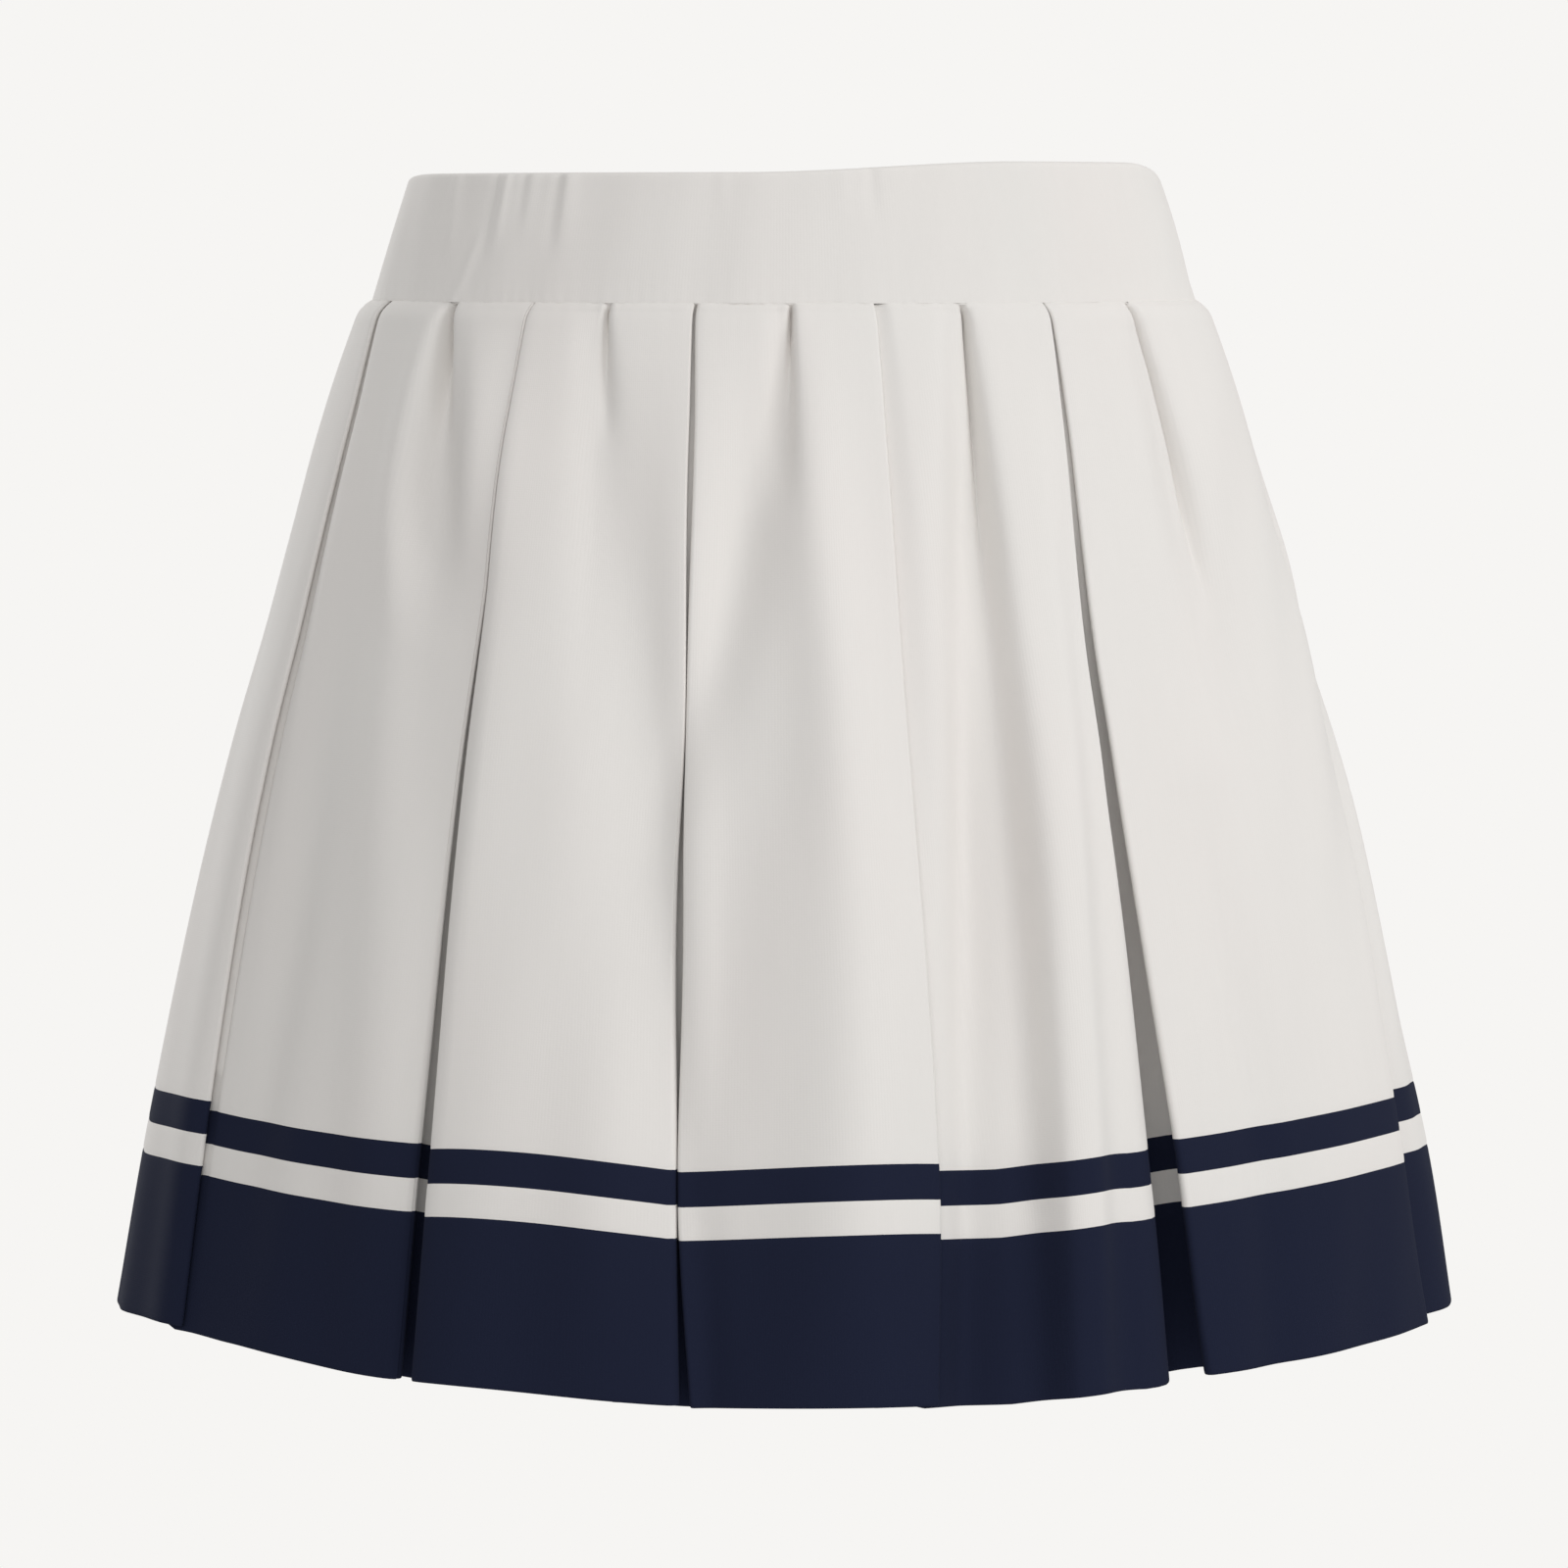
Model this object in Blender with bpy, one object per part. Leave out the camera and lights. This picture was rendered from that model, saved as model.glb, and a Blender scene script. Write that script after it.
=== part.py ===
"""Tennis skirt: a flared, pleated skirt sewn to a plain waistband, filled out as it is when worn.

Metres, +Z up. The front faces -Y and +X is to the right of someone who looks at the front. The origin is the
centre of the waist at half the waistband's height, where the wearer holds the skirt up.

Three words are used all through:
- drop: how far below the waistband's rim a point of the cloth lies.
- bearing: degrees round the waist, 0 at the middle of the front, +90 at the side with +X, 180 behind.
- level: how far outside the skirt's face the middle of the cloth lies. Cloth folded under has one below 0.
"""

from collections import namedtuple

import bpy
import numpy as np

MM = 0.001

# Heights, as drops below the rim.
BAND_HEIGHT = 0.0413
UPPER_STRIPE_DROP = 0.3027
LOWER_STRIPE_DROP = 0.3135
HEM_BAND_DROP = 0.3238
HEM_DROP = 0.3760
RIM_Z = BAND_HEIGHT / 2

# Cloth.
WALL = 1.3 * MM
BAND_WALL = 3.0 * MM
SEAM_GAP = 0.3 * MM
PITCH_AT_WAIST = 2.0 * MM  # from the middle of one folded layer to the middle of the next
GAP_AT_WAIST = 0.5 * MM  # between the two edges of an inverted pleat

# The skirt's face level. half_depth runs from the middle to the front or the back, and pinch draws the sides
# flatter than an ellipse: depth = half_depth * cos(bearing) * (1 - pinch * sin(bearing) ** 2).
Section = namedtuple("Section", "drop half_width half_depth pinch")
SKIRT_SECTIONS = (
    Section(0.0413, 0.1353, 0.0985, 0.00),
    Section(0.0450, 0.1397, 0.1025, 0.00),
    Section(0.0510, 0.1423, 0.1055, 0.01),
    Section(0.0850, 0.1537, 0.1180, 0.03),
    Section(0.1180, 0.1631, 0.1275, 0.05),
    Section(0.1500, 0.1715, 0.1365, 0.08),
    Section(0.1830, 0.1809, 0.1450, 0.11),
    Section(0.2480, 0.1973, 0.1610, 0.16),
    Section(0.3130, 0.2115, 0.1735, 0.20),
    Section(0.3760, 0.2226, 0.1805, 0.22),
)
BAND_SECTIONS = (
    Section(0.0000, 0.1234, 0.0900, 0.00),
    Section(0.0200, 0.1296, 0.0945, 0.00),
    Section(0.0413, 0.1358, 0.0990, 0.00),
)

# The rows of points down each piece, as drops.
SKIRT_ROWS = (BAND_HEIGHT, 0.0450, 0.0510, 0.0850, 0.1250, 0.1650, 0.2100, 0.2550, UPPER_STRIPE_DROP)

# The pressed pleats. A "right" pleat folds the cloth at its left over the cloth at its right, a "left" pleat
# the other way, and an "inverted" pleat folds both sides over a strip that shows through a gap.
# waist, middle, stripe and hem are the bearings of its edge, or of the middle of its gap, at the PLEAT_DROPS.
# The rest is in millimetres: under_waist and under_hem are how far the cloth is folded back under, gap the
# opening at the hem, roll how far the left edge of the gap curls in there, and pitch the layers' spacing there.
# The last four lift the cloth left and right of the edge, at the upper stripe and at the hem.
PLEAT_DROPS = (BAND_HEIGHT, 0.1650, UPPER_STRIPE_DROP, HEM_DROP)
LIFT_DROPS = (0.1000, UPPER_STRIPE_DROP, HEM_DROP)
Pleat = namedtuple(
    "Pleat",
    "kind waist middle stripe hem under_waist under_hem gap roll pitch"
    " stripe_lift_left stripe_lift_right hem_lift_left hem_lift_right",
)
FRONT_PLEATS = (
    Pleat("right", -72.9, -69.0, -62.4, -60.7, 9, 21, 0, 0, 2.6, 4.6, 1.2, 6.2, 3.9),
    Pleat("inverted", -35.7, -33.8, -32.3, -32.3, 9, 23, 5, 0, 3.4, 0.8, -0.6, 2.3, 1.1),
    Pleat("inverted", -11.8, -9.3, -8.8, -8.0, 9, 21, 3.5, 3, 3.2, -2.8, -3.9, 1.0, 0.0),
    Pleat("right", 11.9, 12.3, 13.1, 12.3, 9, 21, 0, 0, 2.4, -1.3, -3.9, -1.1, -0.8),
    Pleat("inverted", 37.6, 34.5, 34.1, 34.8, 9, 24, 11, 5, 3.6, -3.4, 1.0, -1.3, 1.1),
    Pleat("right", 84.0, 82.0, 72.2, 71.7, 8, 19, 0, 0, 2.6, 1.2, 3.8, 1.2, 3.2),
)
BACK_PLEATS = (
    Pleat("left", 113.0, 113.0, 114.0, 114.0, 8, 20, 0, 0, 2.6, 1.0, 3.0, 0.0, 3.0),
    Pleat("inverted", 141.0, 145.0, 147.0, 147.5, 9, 23, 7, 4, 3.4, 0.0, -1.5, 1.0, 0.0),
    Pleat("left", 166.0, 168.0, 169.0, 169.5, 9, 21, 0, 0, 2.4, -3.0, -1.5, -1.0, 1.0),
    Pleat("inverted", 189.5, 190.5, 190.0, 190.0, 9, 22, 4, 2, 3.2, -3.5, -2.5, 0.0, 1.0),
    Pleat("right", 215.0, 214.0, 213.0, 212.5, 9, 21, 0, 0, 2.4, 0.0, -2.5, 1.0, -1.0),
    Pleat("inverted", 250.0, 248.5, 247.5, 248.0, 9, 22, 6, 3, 3.4, 2.0, 0.0, 2.5, 0.0),
)

# The soft tucks between them: a groove at the waist seam that widens and fades out further down. One of None
# stands for the plain stretch beside a side seam. bearing is in degrees, depth in millimetres.
Tuck = namedtuple("Tuck", "bearing depth fade_drop")
FRONT_TUCKS = (
    None,
    Tuck(-50.3, 3.6, 0.125),
    Tuck(-23.7, 3.2, 0.115),
    Tuck(1.0, 4.0, 0.215),
    Tuck(23.4, 3.8, 0.290),
    Tuck(54.1, 3.6, 0.170),
    None,
)
BACK_TUCKS = (
    None,
    Tuck(127.0, 3.6, 0.160),
    Tuck(154.0, 3.8, 0.250),
    Tuck(178.0, 4.0, 0.200),
    Tuck(202.5, 3.2, 0.120),
    Tuck(231.0, 3.8, 0.220),
    None,
)
TUCK_WIDTH_AT_WAIST = 4.5 * MM
TUCK_WIDTH_AT_FADE = 15 * MM
TUCK_COLUMNS = (-1.5, -0.7, 0.0, 0.7, 1.5)  # in widths of the groove
TUCK_ROOM = 0.35  # of the panel, kept at each side of the groove's middle
PLAIN_COLUMNS = (0.25, 0.50, 0.75)  # in shares of the plain stretch

# Beyond a one-way pleat the cloth comes back up to the face over this width, in the steps given.
EASE_AT_WAIST = 10 * MM
EASE_AT_HEM = 26 * MM
EASE_STEPS = (0.35, 0.70, 1.0)

# The side seams, and the bearings that the front and the back pieces reach.
SIDE_SEAMS = (-98.0, 98.0, 262.0)

# The rim is drawn up a little right of the middle.
RIM_LIFT = 3.6 * MM
RIM_LIFT_BEARING = 40.0
RIM_LIFT_SPREAD = 24.0

# The waistband is folded over at its rim. Each row is a drop and how far the two faces are drawn in there.
BandRow = namedtuple("BandRow", "drop inset")
BAND_ROWS = (
    BandRow(0.0, 0.9 * MM),
    BandRow(0.45 * MM, 0.3 * MM),
    BandRow(1.5 * MM, 0.0),
    BandRow(0.0200, 0.0),
    BandRow(BAND_HEIGHT - SEAM_GAP / 2, 0.0),
)
BAND_COLUMNS = 36

CREAM = (0.80, 0.77, 0.72, 1.0)
NAVY = (0.014, 0.018, 0.036, 1.0)
CLOTH_ROUGHNESS = 0.9
SMOOTH_ANGLE = np.radians(40)

Column = namedtuple("Column", "arc level out_arc out_level lift")


def between(start, end, share):
    """The value that lies this share of the way from start to end."""
    return start + (end - start) * share


def smooth(share):
    """A share from 0 to 1 that starts and ends gently."""
    share = min(max(share, 0.0), 1.0)
    return share * share * (3 - 2 * share)


def length_share(drop):
    """How far down the skirt a drop lies: 0 at the waist seam, 1 at the hem."""
    return (drop - BAND_HEIGHT) / (HEM_DROP - BAND_HEIGHT)


class Ring:
    """One level outline round the wearer, measured by its arc length from the middle of the front."""

    BEARINGS = np.radians(np.arange(-120.0, 300.5, 0.5))

    def __init__(self, sections, drop):
        drops = [section.drop for section in sections]
        half_width = np.interp(drop, drops, [section.half_width for section in sections])
        half_depth = np.interp(drop, drops, [section.half_depth for section in sections])
        pinch = np.interp(drop, drops, [section.pinch for section in sections])
        sine, cosine = np.sin(self.BEARINGS), np.cos(self.BEARINGS)
        self.x = half_width * sine
        self.y = -half_depth * cosine * (1 - pinch * sine**2)
        steps = np.hypot(np.diff(self.x), np.diff(self.y))
        arc = np.concatenate([[0.0], np.cumsum(steps)])
        self.arc = arc - np.interp(0.0, self.BEARINGS, arc)
        along_x, along_y = np.gradient(self.x, self.arc), np.gradient(self.y, self.arc)
        self.out_x, self.out_y = along_y, -along_x

    def arc_at(self, bearing):
        """The arc length from the middle of the front to a bearing in degrees."""
        return np.interp(np.radians(bearing), self.BEARINGS, self.arc)

    def place(self, arc, level):
        """The point at an arc length, moved out from the ring by level."""
        point = [np.interp(arc, self.arc, values) for values in (self.x, self.y, self.out_x, self.out_y)]
        return point[0] + point[2] * level, point[1] + point[3] * level


def face(arc, level, lift):
    """A column of cloth whose outer side faces out."""
    return Column(arc, level, 0.0, 1.0, lift)


def fold(edge, way, level_in, level_out, lift):
    """Three columns round a fold whose edge is at an arc length. The cloth comes in along way (+1 or -1),
    turns half a circle and goes back at the other level."""
    radius = abs(level_out - level_in) / 2
    turn = 1.0 if level_out > level_in else -1.0
    return [
        Column(edge - way * radius, level_in, 0.0, way, lift),
        Column(edge, (level_in + level_out) / 2, -turn, 0.0, lift),
        Column(edge - way * radius, level_out, 0.0, -way, lift),
    ]


def pleat_columns(pleat, ring, drop):
    """The columns of one pleat in one row, from its left to its right."""
    share = length_share(drop)
    centre = ring.arc_at(np.interp(drop, PLEAT_DROPS, (pleat.waist, pleat.middle, pleat.stripe, pleat.hem)))
    under = between(pleat.under_waist, pleat.under_hem, share) * MM
    pitch = between(PITCH_AT_WAIST, pleat.pitch * MM, share)
    left = np.interp(drop, LIFT_DROPS, (0.0, pleat.stripe_lift_left, pleat.hem_lift_left)) * MM
    right = np.interp(drop, LIFT_DROPS, (0.0, pleat.stripe_lift_right, pleat.hem_lift_right)) * MM
    if pleat.kind == "inverted":
        half_gap = (between(GAP_AT_WAIST, pleat.gap * MM, share) + WALL) / 2
        curl = pleat.roll * MM * smooth(share * 1.6 - 0.5)
        left_edge, right_edge = centre - half_gap, centre + half_gap
        middle = (left + right) / 2
        return [
            face(left_edge - under - pitch, 0.0, left),
            face(left_edge - under * 0.5, -curl * 0.25, left),
            *fold(left_edge, +1, -curl, -curl - pitch, left),
            *fold(left_edge - under, -1, -pitch, -2 * pitch, left),
            face(left_edge, -2 * pitch - curl, middle),
            face(right_edge, -2 * pitch - curl * 0.3, middle),
            *fold(right_edge + under, +1, -2 * pitch, -pitch, right),
            *fold(right_edge, -1, -pitch, 0.0, right),
            face(right_edge + under + pitch, 0.0, right),
        ]
    ease = between(EASE_AT_WAIST, EASE_AT_HEM, share)
    if pleat.kind == "right":
        return [
            face(centre - under - pitch, 0.0, left),
            *fold(centre, +1, 0.0, -pitch, left),
            *fold(centre - under, -1, -pitch, -2 * pitch, right),
            face(centre, -2 * pitch, right),
            *(face(centre + ease * step, -2 * pitch * (1 - smooth(step)), right) for step in EASE_STEPS),
        ]
    return [
        *(face(centre - ease * step, -2 * pitch * (1 - smooth(step)), left) for step in reversed(EASE_STEPS)),
        face(centre, -2 * pitch, left),
        *fold(centre + under, +1, -2 * pitch, -pitch, left),
        *fold(centre, -1, -pitch, 0.0, right),
        face(centre + under + pitch, 0.0, right),
    ]


def panel_columns(tuck, ring, drop, start, end):
    """The columns between the last one of a pleat and the first one of the next: five over a soft tuck, kept
    between its neighbours, or three along a plain stretch."""
    width = end.arc - start.arc
    if tuck is None:
        arcs, levels = [start.arc + width * share for share in PLAIN_COLUMNS], [0.0] * len(PLAIN_COLUMNS)
    else:
        faded = smooth((drop - BAND_HEIGHT) / (tuck.fade_drop - BAND_HEIGHT))
        room = width * TUCK_ROOM
        middle = min(max(ring.arc_at(tuck.bearing), start.arc + room), end.arc - room)
        groove = min(between(TUCK_WIDTH_AT_WAIST, TUCK_WIDTH_AT_FADE, faded), room * 0.9 / TUCK_COLUMNS[-1])
        arcs = [middle + groove * step for step in TUCK_COLUMNS]
        levels = [-tuck.depth * MM * (1 - faded) * np.exp(-(step**2)) for step in TUCK_COLUMNS]
    return [
        face(arc, level, between(start.lift, end.lift, (arc - start.arc) / width))
        for arc, level in zip(arcs, levels)
    ]


def row_columns(pleats, tucks, seams, drop):
    """Every column of one piece in one row, from its left side seam to its right one."""
    ring = Ring(SKIRT_SECTIONS, drop)
    first = face(ring.arc_at(seams[0]) + SEAM_GAP / 2, 0.0, 0.0)
    last = face(ring.arc_at(seams[1]) - SEAM_GAP / 2, 0.0, 0.0)
    groups = [[first], *(pleat_columns(pleat, ring, drop) for pleat in pleats), [last]]
    columns = list(groups[0])
    for tuck, group in zip(tucks, groups[1:]):
        columns += panel_columns(tuck, ring, drop, columns[-1], group[0])
        columns += group
    return ring, columns


def rim_lift(bearing):
    """How far the rim stands above its own level at a bearing in degrees."""
    return RIM_LIFT * np.exp(-(((bearing - RIM_LIFT_BEARING) / RIM_LIFT_SPREAD) ** 2))


def add_solid(name, points, faces, colour):
    """One closed solid with its own cloth material."""
    mesh = bpy.data.meshes.new(name)
    mesh.from_pydata(points, [], faces)
    mesh.update()
    mesh.shade_smooth()
    mesh.set_sharp_from_angle(angle=SMOOTH_ANGLE)
    material = bpy.data.materials.new(name + "_cloth")
    material.use_nodes = True
    shader = material.node_tree.nodes["Principled BSDF"]
    shader.inputs["Base Color"].default_value = colour
    shader.inputs["Roughness"].default_value = CLOTH_ROUGHNESS
    shader.inputs["Metallic"].default_value = 0.0
    mesh.materials.append(material)
    solid = bpy.data.objects.new(name, mesh)
    bpy.context.scene.collection.objects.link(solid)
    return solid


def wall_to_solid(name, outer, inner, colour):
    """A closed wall between two grids of points, each a list of rows from the top down whose columns run
    anticlockwise seen from above."""
    rows, columns = len(outer), len(outer[0])
    points = [point for grid in (outer, inner) for row in grid for point in row]
    out = np.arange(rows * columns).reshape(rows, columns)
    within = out + rows * columns

    def strip(first, second):
        """The four-sided faces between two lines of points, seen with the first line above the second."""
        return np.stack([first[:-1], second[:-1], second[1:], first[1:]], axis=1).tolist()

    faces = []
    for row in range(rows - 1):
        faces += strip(out[row], out[row + 1]) + strip(within[row + 1], within[row])
    faces += strip(within[0], out[0]) + strip(out[-1], within[-1])
    faces += strip(out[:, 0], within[:, 0]) + strip(within[:, -1], out[:, -1])
    return add_solid(name, points, faces, colour)


def skirt_piece(name, pleats, tucks, seams, rows, colour):
    """A pleated piece between the first and the last of its rows, which are drops."""
    bottom = rows[-1] if rows[-1] == HEM_DROP else rows[-1] - SEAM_GAP / 2
    outer, inner = [], []
    for drop in (rows[0] + SEAM_GAP / 2, *rows[1:-1], bottom):
        ring, columns = row_columns(pleats, tucks, seams, drop)
        for side, grid in ((WALL / 2, outer), (-WALL / 2, inner)):
            grid.append(
                [
                    (
                        *ring.place(column.arc + column.out_arc * side, column.level + column.out_level * side),
                        RIM_Z - drop + column.lift,
                    )
                    for column in columns
                ]
            )
    return wall_to_solid(name, outer, inner, colour)


def waistband_piece(name, seams, colour):
    """One half of the waistband: a band folded double, with a rounded rim."""
    outer, inner = [], []
    for row in BAND_ROWS:
        ring = Ring(BAND_SECTIONS, row.drop)
        start, end = ring.arc_at(seams[0]) + SEAM_GAP / 2, ring.arc_at(seams[1]) - SEAM_GAP / 2
        shares = np.linspace(0.0, 1.0, BAND_COLUMNS + 1)
        lifts = [rim_lift(between(*seams, share)) * (1 - row.drop / BAND_HEIGHT) for share in shares]
        for level, grid in ((-row.inset, outer), (row.inset - BAND_WALL, inner)):
            grid.append(
                [
                    (*ring.place(between(start, end, share), level), RIM_Z - row.drop + lift)
                    for share, lift in zip(shares, lifts)
                ]
            )
    return wall_to_solid(name, outer, inner, colour)


def clear_scene():
    """Takes away whatever the scene holds."""
    for old in list(bpy.data.objects):
        bpy.data.objects.remove(old, do_unlink=True)


def main():
    """Builds the ten pieces of the skirt."""
    clear_scene()
    halves = (
        ("front", FRONT_PLEATS, FRONT_TUCKS, SIDE_SEAMS[0:2]),
        ("back", BACK_PLEATS, BACK_TUCKS, SIDE_SEAMS[1:3]),
    )
    for half, pleats, tucks, seams in halves:
        waistband_piece(f"waistband_{half}", seams, CREAM)
        pieces = (
            ("skirt", SKIRT_ROWS, CREAM),
            ("upper_stripe", (UPPER_STRIPE_DROP, LOWER_STRIPE_DROP), NAVY),
            ("lower_stripe", (LOWER_STRIPE_DROP, HEM_BAND_DROP), CREAM),
            ("hem_band", (HEM_BAND_DROP, HEM_DROP), NAVY),
        )
        for piece, rows, colour in pieces:
            skirt_piece(f"{piece}_{half}", pleats, tucks, seams, rows, colour)


main()
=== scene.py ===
"""A tennis skirt in cream and navy double-knit cloth, hung in the shape that its wearer gives it.

Metres, +Z up, front towards -Y, +X to the right of someone who looks at the front. These words are used:

- drop: how far below the waistband's rim a point of the cloth lies, before any lift.
- bearing: degrees round the waist, 0 at the middle of the front, +90 at the side with +X, 180 behind.
- arc: the same place as a length along the level outline, from the middle of the front.
- level: how far outside the skirt's face the middle of the cloth lies. Cloth folded under has one below 0.
- lift: how far the cloth is drawn up from the height that its drop gives.

Every cloth is a grid of rows (one drop each) by columns. The grid holds the middle of the cloth, and half the
thickness is added on each side along its normal.
"""

import logging
import math
from dataclasses import astuple, dataclass
from enum import Enum
from functools import cache

import bpy
import numpy as np
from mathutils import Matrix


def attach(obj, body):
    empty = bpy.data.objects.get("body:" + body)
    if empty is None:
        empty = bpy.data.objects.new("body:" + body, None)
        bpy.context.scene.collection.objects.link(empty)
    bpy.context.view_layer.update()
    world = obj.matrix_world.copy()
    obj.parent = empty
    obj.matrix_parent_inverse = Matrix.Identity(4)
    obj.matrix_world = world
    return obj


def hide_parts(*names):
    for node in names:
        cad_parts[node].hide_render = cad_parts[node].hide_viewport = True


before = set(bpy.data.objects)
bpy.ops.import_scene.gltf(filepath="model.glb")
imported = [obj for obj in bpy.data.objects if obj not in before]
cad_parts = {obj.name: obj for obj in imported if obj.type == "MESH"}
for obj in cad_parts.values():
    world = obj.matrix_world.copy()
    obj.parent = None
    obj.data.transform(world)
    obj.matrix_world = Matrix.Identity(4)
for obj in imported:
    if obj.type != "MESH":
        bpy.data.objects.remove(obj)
log = logging.getLogger("tennis_skirt")

Array = np.ndarray
Node = bpy.types.Node
Socket = bpy.types.NodeSocket
Tree = bpy.types.NodeTree
Pair = tuple[float, float]
Triple = tuple[float, float, float]

MM = 0.001
BODY = "root"

# Heights, as drops below the rim.
BAND_HEIGHT = 0.0413
UPPER_STRIPE_DROP = 0.3027
LOWER_STRIPE_DROP = 0.3135
HEM_BAND_DROP = 0.3238
HEM_DROP = 0.3760
RIM_Z = BAND_HEIGHT / 2

# Cloth.
CLOTH = 0.8 * MM
JOIN = 0.04 * MM  # between two pieces sewn edge to edge
# the most area that a pleated sheet declares
MOST_AREA = 0.999  # of width times height, the most area that is worked out for a pleated sheet


class Half(Enum):
    """Which half of the skirt a piece belongs to."""

    FRONT = "front"
    BACK = "back"


class Way(Enum):
    """How a pleat is folded: the cloth at its left over the cloth at its right, the other way, or both sides
    over a strip that shows through the gap between them."""

    LEFT_OVER_RIGHT = "left over right"
    RIGHT_OVER_LEFT = "right over left"
    INVERTED = "inverted"


def smooth(share: Array) -> Array:
    """A share held between 0 and 1 that starts and ends gently: 3s^2 - 2s^3."""
    held = np.clip(share, 0.0, 1.0)
    return held * held * (3.0 - 2.0 * held)


def eased(at: Array, start: float, stop: float) -> Array:
    """A share that passes gently from 0 at start to 1 at stop."""
    return smooth((at - start) / (stop - start))


def blend(ends: tuple[Array | float, Array | float], share: Array) -> Array:
    """The straight way from the first end, at share 0, to the second, at share 1."""
    return ends[0] + (ends[1] - ends[0]) * share


def bell(distance: Array, width: Array | float) -> Array:
    """A soft bump, 1 high where the distance is 0: exp(-(distance / width)^2)."""
    return np.exp(-((distance / width) ** 2))


def through(at: Array, knots: Array | tuple[float, ...], values: Array | tuple[float, ...]) -> Array:
    """A smooth curve through a short table that never swings past its values.

    Cubic pieces join the table's points. The slope at a point is the harmonic mean of the slopes on its two
    sides, or 0 where they differ in sign. Past the ends the curve keeps the last value.

    Args:
        at: where the curve is wanted.
        knots: the table's rising positions.
        values: the value at each.

    Returns:
        The curve's values, in the shape of at.
    """
    knot, value = np.asarray(knots, float), np.asarray(values, float)
    step = np.diff(knot)
    slope = np.diff(value) / step
    tangent = np.concatenate([slope[:1], np.zeros(len(knot) - 2), slope[-1:]])
    product = slope[:-1] * slope[1:]
    rising = product > 0
    total = np.where(rising, slope[:-1] + slope[1:], 1.0)
    tangent[1:-1] = np.where(rising, 2.0 * product / total, 0.0)
    held = np.clip(at, knot[0], knot[-1])
    cell = np.clip(np.searchsorted(knot, held, side="right") - 1, 0, len(step) - 1)
    part = (held - knot[cell]) / step[cell]
    square, cube = part * part, part**3
    return (
        (2 * cube - 3 * square + 1) * value[cell]
        + (cube - 2 * square + part) * step[cell] * tangent[cell]
        + (3 * square - 2 * cube) * value[cell + 1]
        + (cube - square) * step[cell] * tangent[cell + 1]
    )


@dataclass(frozen=True)
class Sway:
    """Slow uneven waves over the cloth, each depth * sin(2 pi (arc / its length across + drop / its length
    down) + phase). The pairs are the least and the greatest of those lengths."""

    depth: float
    count: int
    across: Pair
    down: Pair

    def over(self, random: np.random.Generator, arc: Array, drop: Array) -> Array:
        """The levels that the waves add. Lengths across are drawn first, then those down, then the phases."""
        draws = [random.uniform(*ends, self.count) for ends in (self.across, self.down, (0.0, math.tau))]
        waves = (np.sin(math.tau * (arc / wide + drop / tall) + phase) for wide, tall, phase in zip(*draws))
        return self.depth * sum(waves)


@dataclass(frozen=True)
class Puckers:
    """Fine waves that the waist seam draws in: depth * exp(-distance / reach) * sin(2 pi arc / pitch + wander
    * slow), where slow is a sum of sine waves of the given lengths."""

    depth: float
    reach: float
    pitch: float
    wander: float
    lengths: tuple[float, ...]

    def over(self, arc: Array, distance: Array, phase: float = 0.0) -> Array:
        """The levels that they add at distances from the seam. The first slow wave has a phase."""
        starts = zip(self.lengths, (phase, 0.0))
        slow = sum(np.sin(math.tau * arc / length + start) for length, start in starts)
        fine = np.sin(math.tau * arc / self.pitch + self.wander * slow)
        return self.depth * np.exp(-distance / self.reach) * fine


def table(kind: type, *rows: tuple) -> tuple:
    """One of a kind made from each row, whose values are in the order of the kind's fields."""
    return tuple(kind(*row) for row in rows)


@dataclass(frozen=True)
class Section:
    """One level outline: x = half_width sin b and y = -half_depth cos b (1 - pinch sin^2 b) at bearing b."""

    drop: float
    half_width: float
    half_depth: float
    pinch: float


SKIRT_SECTIONS = table(
    Section,
    (0.0413, 0.1353, 0.0985, 0.00),
    (0.0450, 0.1397, 0.1006, 0.00),
    (0.0510, 0.1423, 0.1032, 0.01),
    (0.0850, 0.1537, 0.1153, 0.03),
    (0.1180, 0.1631, 0.1260, 0.05),
    (0.1500, 0.1715, 0.1358, 0.08),
    (0.1830, 0.1809, 0.1448, 0.11),
    (0.2480, 0.1973, 0.1610, 0.16),
    (0.3130, 0.2115, 0.1735, 0.20),
    (0.3760, 0.2226, 0.1805, 0.22),
)
BAND_SECTIONS = table(
    Section,
    (0.0000, 0.1234, 0.0900, 0.00),
    (0.0200, 0.1296, 0.0945, 0.00),
    (0.0413, 0.1358, 0.0990, 0.00),
)


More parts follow.
